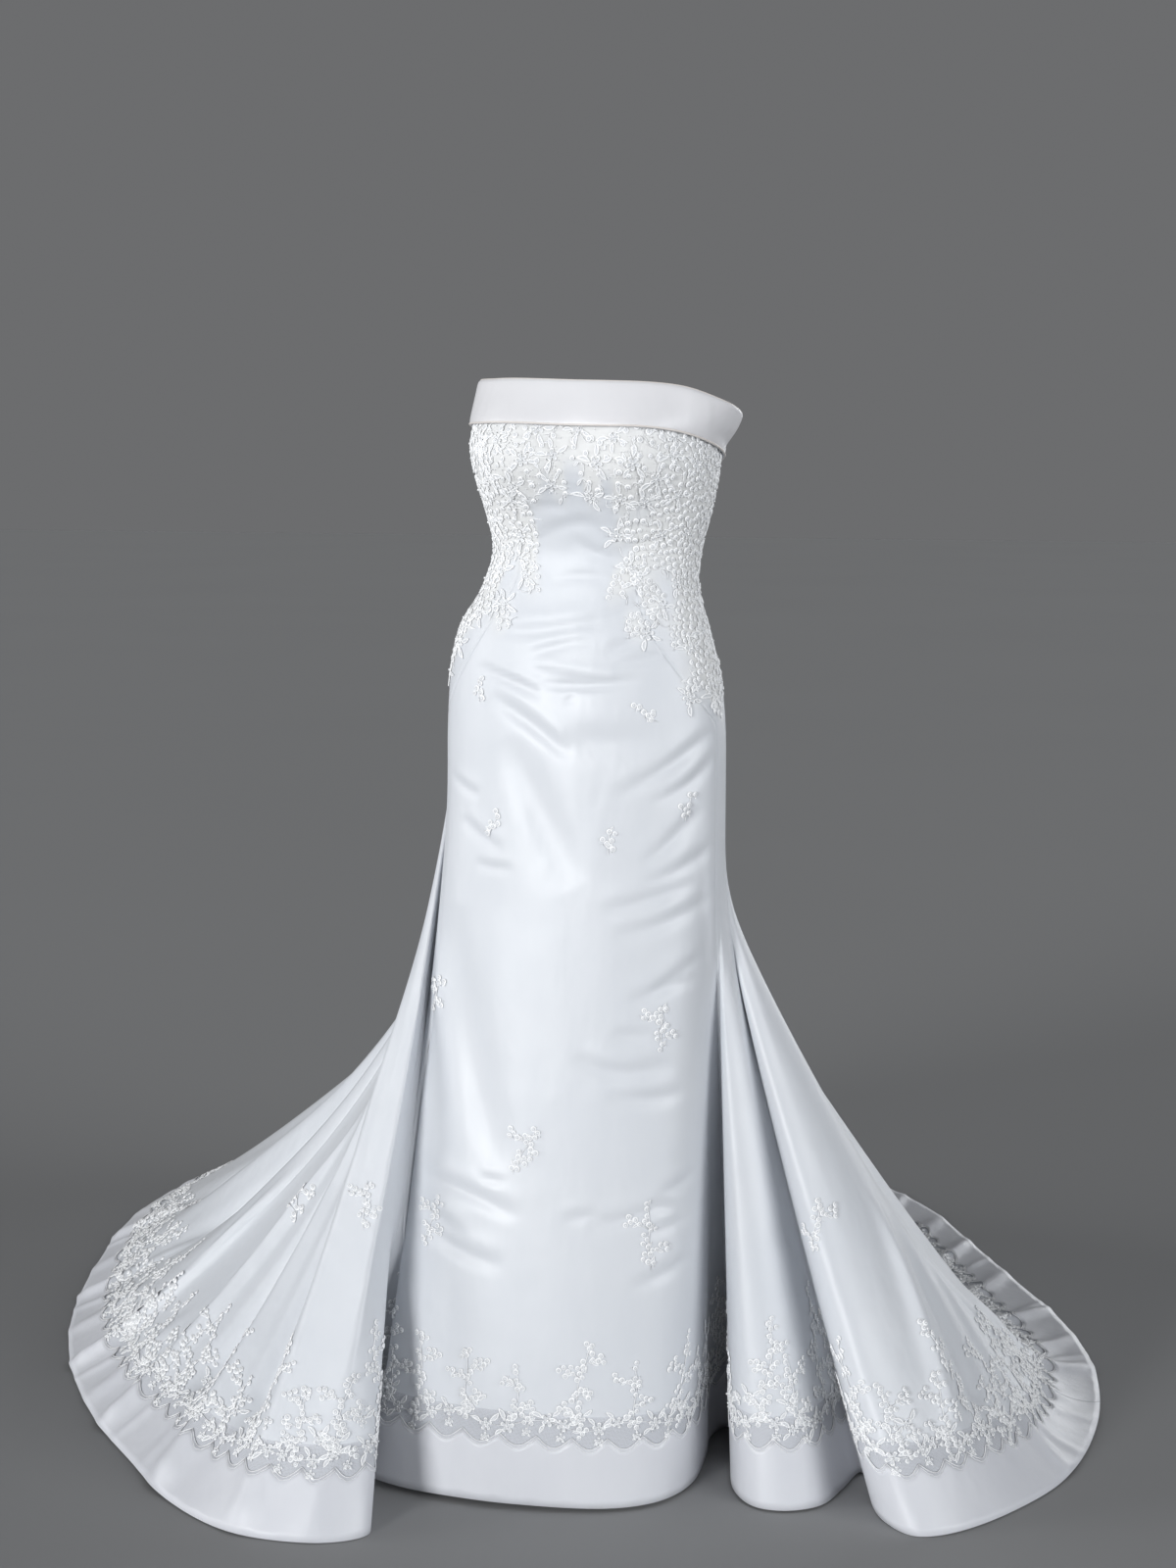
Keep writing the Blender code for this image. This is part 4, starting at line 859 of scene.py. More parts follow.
def tube(name, line, radius, sides):
    # a cord along a line of points
    way = unit(np.gradient(line, axis=0))
    side = unit(np.cross(way, np.array((0.0, 0.0, 1.0))))
    lift = np.cross(side, way)
    turns = np.linspace(0, 2 * math.pi, sides, endpoint=False)
    rings = np.array([line + (side * math.cos(a) + lift * math.sin(a)) * radius for a in turns])
    made = gridPiece(name, np.concatenate([rings, rings[:1]]))
    editAll(
        (bpy.ops.mesh.remove_doubles, {"threshold": 0.00001}),
        (bpy.ops.mesh.fill_holes, {"sides": sides}),
        (bpy.ops.mesh.normals_make_consistent, {"inside": False}),
    )
    return made


def makeCuffs():
    made = {}
    seam = seamDegrees((2, 1), figure["neckline"][7][1])[0]
    section = np.array(cuff["section"])
    smooth = cubic(section, np.arange(len(section)), np.linspace(0, len(section) - 1, cuff["steps"]))
    stretches = {"front": (-seam, seam), "back_left": (seam, 180), "back_right": (180, 360 - seam)}
    for name, (first, last) in stretches.items():
        columns = int((last - first) / 10 * cuff["columns"]) * 2 + 1
        degrees = np.linspace(first + cuff["seamGap"], last - cuff["seamGap"], columns)
        piece = gridPiece("cuff_satin_" + name, np.array([cuffPoints(degrees, *step) for step in smooth]))
        finishPiece(piece, cuffSatin, "cuff_satin", "cuff_" + name)
        cords = []
        for edge, step in cuff["cords"].items():
            line = cuffPoints(degrees, *section[step])
            cords.append(tube("cuff_piping_" + name + "_" + edge, line, cuff["cord"], cuff["cordSides"]))
            finishPiece(cords[-1], piping, "cuff_satin")
        made[name] = (piece, cords)
    return made


# A tooth is given by its size across, out and down, how far it stands out of the tape, and how far it lies
# to one side of the middle
zipSizes = {
    "top": 0.0855,
    "bottom": -0.190,
    "halfWidth": 0.0060,
    "rows": 90,
    "columns": 13,
    "out": 0.0030,
    "edgeDrop": 0.0008,
    "middleRise": 0.0003,
    "middleWidth": 0.25,
    "tooth": (0.0030, 0.0009, 0.0008),
    "toothOut": 0.0006,
    "toothShift": 0.0007,
    "pitch": 0.0017,
}


def makeZipTape():
    # a strip down the centre back that follows the creases where they rise
    rows, columns = zipSizes["rows"], zipSizes["columns"]
    across = np.tile(np.linspace(-1, 1, columns), rows)
    heights = np.repeat(np.linspace(zipSizes["top"], zipSizes["bottom"], rows), columns)
    waistHalf = figure["rings"][5][2]
    degrees = 180 - np.degrees(across * zipSizes["halfWidth"] / waistHalf)
    raised = zipSizes["out"] - zipSizes["edgeDrop"] * np.abs(across) ** 4
    raised = raised + zipSizes["middleRise"] * np.exp(-((across / zipSizes["middleWidth"]) ** 2))
    points, normals = figurePoints(degrees, heights), figureNormals(degrees, heights)
    creased = creaseShape["strength"] * creaseDepth(points, normals, backCreases, 1)
    points = points + normals * (np.maximum(creased, 0) + raised)[:, None]
    tape = gridPiece("zip_tape", points.reshape(rows, columns, 3)[:, ::-1])
    return finishPiece(tape, zipTape, "zip_tape", "zip_strip")


def makeZipTeeth():
    # one tooth, copied down the middle of the tape with every other one to the other side
    tooth = addMesh("tooth", bpy.ops.mesh.primitive_cube_add, size=1)
    corners = np.array([v.co[:] for v in tooth.data.vertices]) * zipSizes["tooth"]
    sides = [tuple(p.vertices) for p in tooth.data.polygons]
    bpy.data.objects.remove(tooth, do_unlink=True)
    count = int((zipSizes["top"] - zipSizes["bottom"]) / zipSizes["pitch"]) - 2
    at = zipSizes["top"] - zipSizes["pitch"] * (np.arange(count) + 1.0)
    back = np.full(count, 180.0)
    middle, normal = figurePoints(back, at), figureNormals(back, at)
    down = unit(np.gradient(middle, axis=0))
    side = np.cross(down, normal)
    shift = np.where(np.arange(count) % 2 == 0, 1, -1) * zipSizes["toothShift"]
    x, y, z = corners.T[:, None, :, None]
    centre = middle + normal * (zipSizes["out"] + zipSizes["toothOut"]) + side * shift[:, None]
    points = centre[:, None] + side[:, None] * x + normal[:, None] * y + down[:, None] * z
    faces = [tuple(v + len(corners) * i for v in face) for i in range(count) for face in sides]
    teeth = meshPiece("zip_teeth", points.reshape(-1, 3), faces)
    makeActive(teeth)
    editAll((bpy.ops.mesh.normals_make_consistent, {"inside": False}))
    return finishPiece(teeth, zipMetal, "zip_metal")


def finishZipMetal():
    # slider and pull tab keep the solids' own meshes
    for node in ("zip_slider", "zip_pull"):
        materials = frame["nodes"][node].data.materials
        materials.clear()
        materials.append(zipMetal)


def scallopHeight(share):
    # height of the band's upper edge above the hem: points at the ends of a scallop, a round dip between
    away = np.abs(np.sin(math.pi * share)) ** border["roundness"]
    return border["cusp"] - (border["cusp"] - border["dip"]) * away


def bandPlaces(panel, perScallop):
    count = panel["scallops"] * perScallop + 1
    place = np.linspace(panel["hem"][0], panel["hem"][1], count)
    return place, np.linspace(0, panel["scallops"], count)


def hemStrip(name, place, distance, lift):
    points, _ = onCloth(place[None, :], rowAbove(place[None, :], distance), lift)
    return gridPiece(name, points)


def makeBands():
    made = {}
    perScallop, rows = border["bandGrid"]
    for panel in panels:
        place, share = bandPlaces(panel, perScallop)
        distance = scallopHeight(share)[None, :] * np.linspace(1, 0, rows)[:, None]
        piece = hemStrip("band_" + panel["name"], place, distance, border["bandLift"])
        wall = piece.modifiers.new("wall", "SOLIDIFY")
        wall.thickness = border["bandWall"]
        wall.offset = 1.0
        makeActive(piece)
        bpy.ops.object.modifier_apply(modifier="wall")
        made[panel["name"]] = finishPiece(piece, bandSatin, "band_satin", "hem_band_" + panel["name"])
    return made


def makeSheerStrips():
    made = {}
    perScallop, rows = border["netGrid"]
    top = border["band"] + border["sheer"] + border["netOverSatin"]
    low = border["dip"] - border["netUnderBand"]
    for panel in panels:
        place, _ = bandPlaces(panel, perScallop)
        distance = np.linspace(top, low, rows)[:, None]
        piece = hemStrip("net_" + panel["name"], place, distance, border["netLift"])
        made[panel["name"]] = finishPiece(piece, net, "tulle", "sheer_strip_" + panel["name"])
    return made


# Sizes of the lace: half thickness of its cords, how far they stand off the cloth, radii of flowers and
# blossoms, lengths of leaves, beads
lace = {
    "fine": 0.00055,
    "edge": 0.0007,
    "inner": 0.0004,
    "stemEnd": 0.35,    # share of the thickness left at a stem's ends
    "lift": 0.0010,
    "stemLift": 0.0011,
    "flower": (0.0072, 0.0092),
    "blossom": (0.0032, 0.0043),
    "leaf": (0.0125, 0.0170),
    "smallLeaf": (0.0075, 0.0105),
    "bead": (0.0007, 0.0011),
    "apart": 0.0043,    # blossoms in a cluster
    "seed": 11,
}
clothStep = 0.004    # metres to both sides over which the stretch of the cloth is read


def shapeRing(mesh, route, middle):
    # moves a unit ring or disc onto a route that gives a point for each angle, keeping the cord's width
    for vertex in mesh.vertices:
        x, y, z = vertex.co
        far = math.hypot(x, y)
        if far < 1e-6:
            vertex.co = (*middle, z)
            continue
        spot = route(math.atan2(y, x))
        vertex.co = (spot[0] + x - x / far, spot[1] + y - y / far, z)


def takeShape(slots):
    # joins what has been modelled for one motif and keeps its arrays
    deselectAll()
    pieces = sorted((o for o in bpy.data.objects if o.name.startswith("motif_")), key=lambda o: o.name)
    for piece, slot in zip(pieces, slots):
        for face in piece.data.polygons:
            face.material_index = slot
        for material in (thread, petalNet, pearl):
            piece.data.materials.append(material)
        piece.select_set(True)
    bpy.context.view_layer.objects.active = pieces[0]
    bpy.ops.object.join()
    joined = bpy.context.object
    editAll((bpy.ops.mesh.remove_doubles, {"threshold": 0.0001}))
    shape = {
        "points": np.array([v.co[:] for v in joined.data.vertices]),
        "faces": [tuple(p.vertices) for p in joined.data.polygons],
        "slots": [p.material_index for p in joined.data.polygons],
    }
    bpy.data.objects.remove(joined, do_unlink=True)
    return shape


def addRing(name, count, low, top, height, base):
    # an open wall round the middle, facing away from it, or towards it where it widens upwards
    place = (0, 0, base + height / 2)
    sizes = {"vertices": count, "radius1": low, "radius2": top, "depth": height}
    made = addMesh(name, bpy.ops.mesh.primitive_cone_add, end_fill_type="NOTHING", location=place, **sizes)
    if low < top:
        made.data.flip_normals()
    return made.data


def addDisc(name, count, radius, base):
    sizes = {"vertices": count, "radius": radius, "location": (0, 0, base)}
    return addMesh(name, bpy.ops.mesh.primitive_circle_add, fill_type="TRIFAN", **sizes).data


def addPearl(name, radius, base):
    sizes = {"segments": 4, "ring_count": 2, "radius": radius, "location": (0, 0, base)}
    addMesh(name, bpy.ops.mesh.primitive_uv_sphere_add, **sizes)


# Motifs of unit size: corners round them, width of their cord or the radius inside it, its height, petals
# and how far from the middle they part, radius of the bead and how high it sits
motifSizes = {
    "flower": {"corners": 20, "cord": 0.10, "height": 0.14, "petals": (5, 0.34), "bead": (0.22, 0.16)},
    "blossom": {"corners": 10, "inner": 0.70, "height": 0.28, "petals": (5, 0.42), "bead": (0.24, 0.20)},
    "leaf": {"corners": 10, "cord": 0.045, "height": 0.065},
    "netHeight": 0.3,    # share of the cord's height
    "blossomDip": 0.10,
    "leafWidth": 0.20,
    "leafBend": 0.09,
}


def corded(sizes, route, middle):
    # a low round of cord on a route, and the net that fills it
    count, cord, height = sizes["corners"], sizes["cord"], sizes["height"]
    low = motifSizes["netHeight"] * height
    shapeRing(addRing("motif_a", count, 1.0, 1 - cord, height, 0.0), route, middle)
    shapeRing(addRing("motif_b", count, 1 - 2 * cord, 1 - cord, 0.7 * height, low), route, middle)
    shapeRing(addDisc("motif_c", count, 1 - 2 * cord, low), route, middle)


def petalRoute(petals, hub):
    def route(angle):
        radius = hub + (1 - hub) * abs(math.cos(petals * angle / 2)) ** 0.55
        return radius * math.cos(angle), radius * math.sin(angle)

    return route


def modelFlower():
    # a round of petals in one cord with a bead in the middle
    sizes = motifSizes["flower"]
    corded(sizes, petalRoute(*sizes["petals"]), (0.0, 0.0))
    addPearl("motif_d", *sizes["bead"])
    return takeShape((0, 0, 1, 2))


def modelBlossom():
    # thick petals that dip to a bead
    sizes = motifSizes["blossom"]
    count, inner, height = sizes["corners"], sizes["inner"], sizes["height"]
    route = petalRoute(*sizes["petals"])
    shapeRing(addRing("motif_a", count, 1.0, inner, height, 0.0), route, (0.0, 0.0))
    middle = addDisc("motif_b", count, inner, height)
    shapeRing(middle, route, (0.0, 0.0))
    for vertex in middle.vertices:
        if math.hypot(vertex.co.x, vertex.co.y) < 1e-6:
            vertex.co.z = motifSizes["blossomDip"]
    addPearl("motif_c", *sizes["bead"])
    return takeShape((0, 1, 2))


def modelLeaf():
    # a narrow leaf from the origin up, bent a little to one side
    bend = motifSizes["leafBend"]

    def route(angle):
        share = (math.sin(angle) + 1) / 2
        narrow = motifSizes["leafWidth"] * (0.35 + 0.65 * math.sin(math.pi * share) ** 0.6)
        return narrow * math.cos(angle) + bend * math.sin(3 * share), share

    corded(motifSizes["leaf"], route, (bend, 0.5))
    return takeShape((0, 0, 1))


def modelBead():
    addPearl("motif_a", 1.0, 0.5)
    return takeShape((2,))


def spotOnCloth(place, row, across, up):
    # place and row of a flat offset in metres from a place on the cloth
    left, right = readCloth(place - clothStep, row)[0], readCloth(place + clothStep, row)[0]
    below, above = readCloth(place, row + 1)[0], readCloth(place, row - 1)[0]
    acrossWay = (right - left) / (2 * clothStep)
    upWay = (above - below) / 2
    stretch = np.linalg.norm(acrossWay, axis=-1)
    level = acrossWay / stretch[..., None]
    slant = (upWay * level).sum(-1)
    rise = np.linalg.norm(upWay - level * slant[..., None], axis=-1)
    rows = up / rise
    return place + (across - rows * slant) / stretch, row - rows


def anyTurn():
    return chance.uniform(0, 6.3)


def anySize(kind):
    return chance.uniform(*lace[kind])


def newWork():
    # motifs and stems gathered for one piece, which then go onto the cloth together
    return {"motifs": {"flower": [], "blossom": [], "leaf": [], "bead": []}, "stems": []}


def addMotif(work, kind, place, row, turn, size):
    work["motifs"][kind].append((float(place), float(row), turn, size))


def addStem(work, places, rows, radius=lace["fine"], lift=lace["stemLift"]):
    work["stems"].append((np.asarray(places, float), np.asarray(rows, float), radius, lift))


def motifArrays(shape, placed):
    place, row, turn, size = np.array(placed).T[:, :, None]
    x, y, z = shape["points"].T[:, None, :]
    flatX = (x * np.cos(turn) - y * np.sin(turn)) * size
    flatY = (x * np.sin(turn) + y * np.cos(turn)) * size
    atPlace, atRow = spotOnCloth(place + 0 * x, row + 0 * x, flatX, flatY)
    return onCloth(atPlace, atRow, z * size + lace["lift"])[0]


def stemArrays(stems):
    # rings of three points along every stem, thinner at its ends
    places = np.concatenate([stem[0] for stem in stems])
    rows = np.concatenate([stem[1] for stem in stems])
    lifts = np.concatenate([np.full(len(stem[0]), stem[3]) for stem in stems])
    middle, normals = onCloth(places, rows, lifts)
    turns = np.radians((90, 210, 330))
    rings = []
    start = 0
    for stem in stems:
        end = start + len(stem[0])
        line, normal = middle[start:end], normals[start:end]
        side = unit(np.cross(normal, unit(np.gradient(line, axis=0))))
        thick = np.full((len(line), 1), stem[2])
        thick[0] = thick[-1] = lace["stemEnd"] * stem[2]
        rings.append([line + (side * math.cos(a) + normal * math.sin(a)) * thick for a in turns])
        start = end
    return rings


def buildLace(work, name, node):
    points, faces, slots = [], [], []
    count = 0
    for kind, placed in work["motifs"].items():
        if not placed:
            continue
        shape = shapes[kind]
        points.append(motifArrays(shape, placed).reshape(-1, 3))
        for _ in placed:
            faces.extend([tuple(v + count for v in face) for face in shape["faces"]])
            slots.extend(shape["slots"])
            count += len(shape["points"])
    for ring in stemArrays(work["stems"]):
        points.extend(ring)
        n = len(ring[0])
        for i in range(n - 1):
            for first, second in ((0, 1), (1, 2), (2, 0)):
                a, b = count + first * n + i, count + second * n + i
                faces.append((a, b, b + 1, a + 1))
        faces.append((count, count + 2 * n, count + n))
        faces.append((count + n - 1, count + 2 * n - 1, count + 3 * n - 1))
        slots.extend([0] * (3 * n - 1))
        count += 3 * n
    made = meshPiece(name, np.concatenate(points), faces)
    mesh = made.data
    mesh.polygons.foreach_set("material_index", np.array(slots, dtype=np.int32))
    for material in (thread, petalNet, pearl):
        mesh.materials.append(material)
    mesh.shade_smooth()
    mesh.update()
    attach(made, "root")
    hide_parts(node)
    return made


def inside(outline, x, y):
    # which points lie inside an outline of corners
    found = np.zeros(np.shape(x), bool)
    for (ax, ay), (bx, by) in zip(outline, outline[1:] + outline[:1]):
        if ay != by:
            found ^= ((ay > y) != (by > y)) & (x < (bx - ax) * (y - ay) / (by - ay) + ax)
    return found


def alongHem(place, distance, across):
    # place and row a flat distance to the side of a place, at a height above the hem
    place = np.asarray(place, float) + 0 * np.asarray(distance, float)
    row = rowAbove(place, distance)
    right, left = readCloth(place + clothStep, row)[0], readCloth(place - clothStep, row)[0]
    place = place + across * 2 * clothStep / np.linalg.norm(right - left, axis=-1)
    return place, rowAbove(place, distance)


def cluster(work, place, row, count):
    # blossoms close together with beads between them, wound outwards from the middle
    number = np.arange(2 * count)
    turn = number * 2.4 + anyTurn()
    far = lace["apart"] * np.sqrt(np.where(number < count, number + 0.3, number - count + 0.8))
    places, rows = spotOnCloth(place, row, far * np.cos(turn), far * np.sin(turn))
    for i in range(count):
        addMotif(work, "blossom", places[i], rows[i], anyTurn(), anySize("blossom"))
    for i in range(count, 2 * count, 2):
        addMotif(work, "bead", places[i], rows[i], 0.0, anySize("bead"))


def rosette(work, place, row, size, leaves):
    # a flower with leaves spread round it, given as their headings, and beads beyond
    addMotif(work, "flower", place, row, anyTurn(), size)
    leavesAt, beadsAt = 0.75 * size, 1.15 * size
    for turn in leaves:
        spot = spotOnCloth(place, row, -math.sin(turn) * leavesAt, math.cos(turn) * leavesAt)
        addMotif(work, "leaf", *spot, turn, anySize("leaf"))
    for _ in range(3):
        turn = anyTurn()
        spot = spotOnCloth(place, row, beadsAt * math.cos(turn), beadsAt * math.sin(turn))
        addMotif(work, "bead", *spot, 0.0, anySize("bead"))


# Stems and what grows on them, in metres and in shares of their length
stemSizes = {
    "longBranch": 0.016,    # from here on a side spray has a blossom on its way
    "branch": (0.012, 0.023),
    "step": 0.007,
    "sway": 0.0035,
    "swayLength": 0.017,
    "swayFrom": 0.02,
    "firstCluster": 0.010,
    "clustersApart": (0.0095, 0.0125),
    "clusterOff": (0.001, 0.005),
    "branchesUpTo": 0.85,    # share of the stem
    "spraySteps": 9,
    "sprayBend": 0.10,
    "sprayClusters": 0.011,
    "longSpray": 0.04,
    "sprayBranches": (0.30, 0.26),
}


def branch(work, place, row, way, length, count):
    # a short side spray that curls away from its stem to a cluster
    t = np.linspace(0, 1, 5)
    places, rows = spotOnCloth(place, row, way * length * t, length * (0.75 * t - 0.25 * t**2))
    addStem(work, places, rows)
    cluster(work, places[-1], rows[-1], count)
    addMotif(work, "leaf", places[2], rows[2], -way * 2.0, anySize("smallLeaf"))
    if length > stemSizes["longBranch"]:
        addMotif(work, "blossom", places[2], rows[2], 0.4, lace["blossom"][0])


def sprig(work, place, distance, height, lean):
    # a stem up from a height above the hem, with clusters along it and side sprays to left and right
    steps = max(int(height / stemSizes["step"]), 6)
    up = np.linspace(0, height, steps)
    sway = np.sin(up / stemSizes["swayLength"] + lean * 20) * np.minimum(up / stemSizes["swayFrom"], 1)
    places, rows = alongHem(place, distance + up, lean * up + stemSizes["sway"] * sway)
    addStem(work, places, rows)
    side = 1 if lean > 0 else -1
    at = stemSizes["firstCluster"]
    number = 0
    while at < height:
        i = min(int(at / height * (steps - 1)), steps - 1)
        off = side * chance.uniform(*stemSizes["clusterOff"])
        cluster(work, *spotOnCloth(places[i], rows[i], off, 0.0), 3 if number % 3 == 1 else 2)
        if number % 2 == 1 and at < stemSizes["branchesUpTo"] * height:
            way = side if number % 4 == 1 else -side
            branch(work, places[i], rows[i], way, chance.uniform(*stemSizes["branch"]), 3 + number % 3)
        elif number % 3 == 0:
            turn = -side * chance.uniform(0.6, 1.1)
            addMotif(work, "leaf", places[i], rows[i], turn, anySize("smallLeaf"))
        side = -side
        number += 1
        at += chance.uniform(*stemSizes["clustersApart"])
    cluster(work, places[-1], rows[-1], 2)


# Lace over the see-through strip: a garland of flowers and leaves with clusters that hang from it, rows of
# clusters above it and sprigs that rise from it
borderLace = {
    "innerCord": 0.0042,
    "ripple": 0.0006,
    "bandLift": 0.0013,
    "garland": 0.1005,
    "garlandEnds": 0.004,
    "garlandStep": 0.005,
    "swing": 0.0055,
    "swingLengths": (0.0213, 0.09),
    # how far from both side edges the flowers, clusters and sprigs keep
    "flowerEnds": (0.010, 0.006),
    "clusterEnds": (0.014, 0.010),
    "sprigEnd": 0.02,
    "flowerApart": 0.0222,
    "hangs": 0.0155,
    "hangingFlower": 0.0058,
    "clustersApart": (0.024, 0.036),
    "rows": {"front": (), "side": (0.030,), "back": (0.030, 0.058)},    # of clusters above the garland
    "edgeSprig": 0.120,
    "edgeSprigIn": 0.009,
    "sprigLean": 0.16,
    "footFlower": 0.014,
    # scallops between sprigs, and their heights
    "sprigs": {
        "front": (1.5, (0.075, 0.105, 0.062, 0.095, 0.070)),
        "side": (1.55, (0.090, 0.140, 0.070, 0.120, 0.085)),
        "back": (1.6, (0.17, 0.09, 0.13, 0.22, 0.11, 0.15)),
    },
}


def edgeCords(work, panel):
    place, share = bandPlaces(panel, border["bandGrid"][0])
    edge = scallopHeight(share)
    ripple = borderLace["ripple"] * np.sin(2 * math.pi * share * 4)
    lift = borderLace["bandLift"]
    addStem(work, place, rowAbove(place, edge), lace["edge"], lift)
    addStem(work, place, rowAbove(place, edge - borderLace["innerCord"] + ripple), lace["inner"], lift)


def hangingFlower(work, at, height):
    low = alongHem(at, height - borderLace["hangs"], chance.uniform(-0.003, 0.003))
    down = np.linspace(height, height - borderLace["hangs"], 4)
    addStem(work, np.linspace(at, low[0], 4), rowAbove(at, down))
    addMotif(work, "flower", *low, 0.3, borderLace["hangingFlower"])
    for turn in (2.3, -2.4):
        addMotif(work, "leaf", *low, turn, lace["smallLeaf"][0])


def flowersAlong(work, first, last, level):
    # two flowers and then a cluster, over and over
    at = first + borderLace["flowerEnds"][0]
    number = 0
    while at < last - borderLace["flowerEnds"][1]:
        height = level(at) + chance.uniform(-0.0025, 0.0025)
        spot = alongHem(at, height, 0.0)
        if number % 3 == 2:
            cluster(work, *spot, 4)
            for turn in (1.3, -1.2):
                turned = turn + chance.uniform(-0.3, 0.3)
                addMotif(work, "leaf", *spot, turned, anySize("smallLeaf"))
        else:
            turns = (chance.uniform(0.5, 1.3), -chance.uniform(0.5, 1.3), chance.uniform(1.9, 2.7))
            rosette(work, *spot, anySize("flower"), turns[: 2 + number % 2])
        if number % 2 == 0:
            hangingFlower(work, at, height)
        at += borderLace["flowerApart"] * chance.uniform(0.85, 1.2)
        number += 1


def clustersAlong(work, first, last, level, above):
    at = first + borderLace["clusterEnds"][0]
    while at < last - borderLace["clusterEnds"][1]:
        spot = alongHem(at, level(at) + above + chance.uniform(-0.007, 0.007), 0.0)
        if chance.random() < 0.3:
            turns = (chance.uniform(0.4, 1.2), -chance.uniform(0.4, 1.2))
            rosette(work, *spot, lace["flower"][0], turns)
        else:
            cluster(work, *spot, 3)
            addMotif(work, "leaf", *spot, chance.uniform(-2.2, 2.2), anySize("smallLeaf"))
        at += chance.uniform(*borderLace["clustersApart"])


def sprigsAlong(work, first, last, level, scallops, heights):
    gap = scallops * border["pitch"]
    at = first + 0.45 * gap
    number = 0
    while at < last - borderLace["sprigEnd"]:
        height = heights[number % len(heights)] * chance.uniform(0.9, 1.12)
        foot = level(at)
        sprig(work, at, foot, height, chance.uniform(-borderLace["sprigLean"], borderLace["sprigLean"]))
        if number % 2 == 0:
            spot = alongHem(at, foot + borderLace["footFlower"], chance.uniform(-0.006, 0.006))
            rosette(work, *spot, lace["flower"][1], (0.9, -0.9))
        at += gap * chance.uniform(0.8, 1.2)
        number += 1


def makeBorderLace(panel):
    work = newWork()
    edgeCords(work, panel)
    first, last = panel["hem"]
    ends = borderLace["garlandEnds"]
    garland = np.arange(first + ends, last - ends, borderLace["garlandStep"])
    short, long = borderLace["swingLengths"]
    swing = np.sin(garland / short + 1.3 * np.sin(garland / long))
    heights = borderLace["garland"] + borderLace["swing"] * swing
    addStem(work, garland, rowAbove(garland, heights))

    def level(at):
        return np.interp(at, garland, heights)

    flowersAlong(work, first, last, level)
    kind = panel["name"].split("_")[0]
    for above in borderLace["rows"][kind]:
        clustersAlong(work, first, last, level, above)
    sprigsAlong(work, first, last, level, *borderLace["sprigs"][kind])
    for end, way in ((first, 1), (last, -1)):
        # a column of lace up both side edges of the panel
        tallest = borderLace["edgeSprig"] * chance.uniform(0.8, 1.15)
        at = end + way * borderLace["edgeSprigIn"]
        sprig(work, at, borderLace["garland"] + ends, tallest, way * 0.03)
    return buildLace(work, "lace_border_on_" + panel["name"], "lace_border_" + panel["name"])


# Zones of lace on the bodice, outlined in degrees from the front and height: how far apart flowers with
# leaves, blossoms, single leaves and beads lie in each
bodiceLace = {
    "metresPerDegree": 0.0023,
    # how many places are tried for each kind in a zone, and how far it stays from the flowers
    "kinds": {"flower": (1500, 0), "blossom": (5000, 0.0115), "leaf": (3000, 0.0140), "bead": (3000, 0)},
    "stemLength": (0.010, 0.018),
    "stemCurl": 0.0035,
    "zones": {
        "bust": {
            "outline": (
                (-60, 0.168), (0, 0.160), (47, 0.150), (50, 0.104), (38, 0.068), (30, 0.054),
                (20, 0.044), (14, 0.056), (18, 0.080), (12, 0.092), (10, 0.060), (4, 0.060),
                (3, 0.104), (-2, 0.104), (-3, 0.062), (-8, 0.068), (-9, 0.094), (-17, 0.056),
                (-24, 0.066), (-34, 0.070), (-48, 0.094),
            ),
            "apart": (0.0270, 0.0110, 0.0150, 0.0085),
        },
        "left": {
            "outline": (
                (-92, 0.158), (-50, 0.160), (-37, 0.106), (-36, 0.074), (-22, 0.056), (-20, 0.020),
                (-22, -0.012), (-13, -0.050), (-24, -0.040), (-38, 0.000), (-44, -0.018), (-46, -0.046),
                (-42, -0.072), (-58, -0.100), (-68, -0.140), (-78, -0.158), (-88, -0.130), (-92, -0.050),
                (-92, 0.030),
            ),
            "apart": (0.0400, 0.0080, 0.0150, 0.0070),
        },
        "leftSpray": {
            "outline": ((-43, -0.058), (-33, -0.060), (-23, -0.088), (-30, -0.092), (-38, -0.078)),
            "apart": (0.0400, 0.0080, 0.0150, 0.0080),
        },
        "right": {
            "outline": (
                (45, 0.142), (68, 0.136), (96, 0.118), (96, 0.060), (95, 0.000), (93, -0.068),
                (95, -0.110), (96, -0.166), (88, -0.200), (76, -0.184), (70, -0.156), (58, -0.182),
                (54, -0.156), (62, -0.136), (61, -0.108), (50, -0.110), (52, -0.084), (64, -0.050),
                (55, -0.022), (41, -0.022), (28, -0.046), (17, -0.056), (19, -0.024), (28, 0.004),
                (29, 0.014), (14, 0.008), (20, 0.036), (34, 0.044), (46, 0.092),
            ),
            "apart": (0.0450, 0.0076, 0.0160, 0.0062),
        },
        "rightSpray": {
            "outline": ((33, -0.032), (41, -0.034), (51, -0.052), (49, -0.072), (42, -0.080), (37, -0.062)),
            "apart": (0.0450, 0.0080, 0.0150, 0.0070),
        },
        "rightLowSpray": {
            "outline": ((28, -0.074), (34, -0.070), (40, -0.088), (35, -0.100), (27, -0.100)),
            "apart": (0.0450, 0.0080, 0.0150, 0.0070),
        },
    },
}


def bodiceSpot(degrees, height):
    top = necklineHeight(degrees)[0] - figure["belowCuff"]
    return placeOfDegrees(degrees), (top - height) / (top - figure["hip"]) * skirt["fittedRows"]


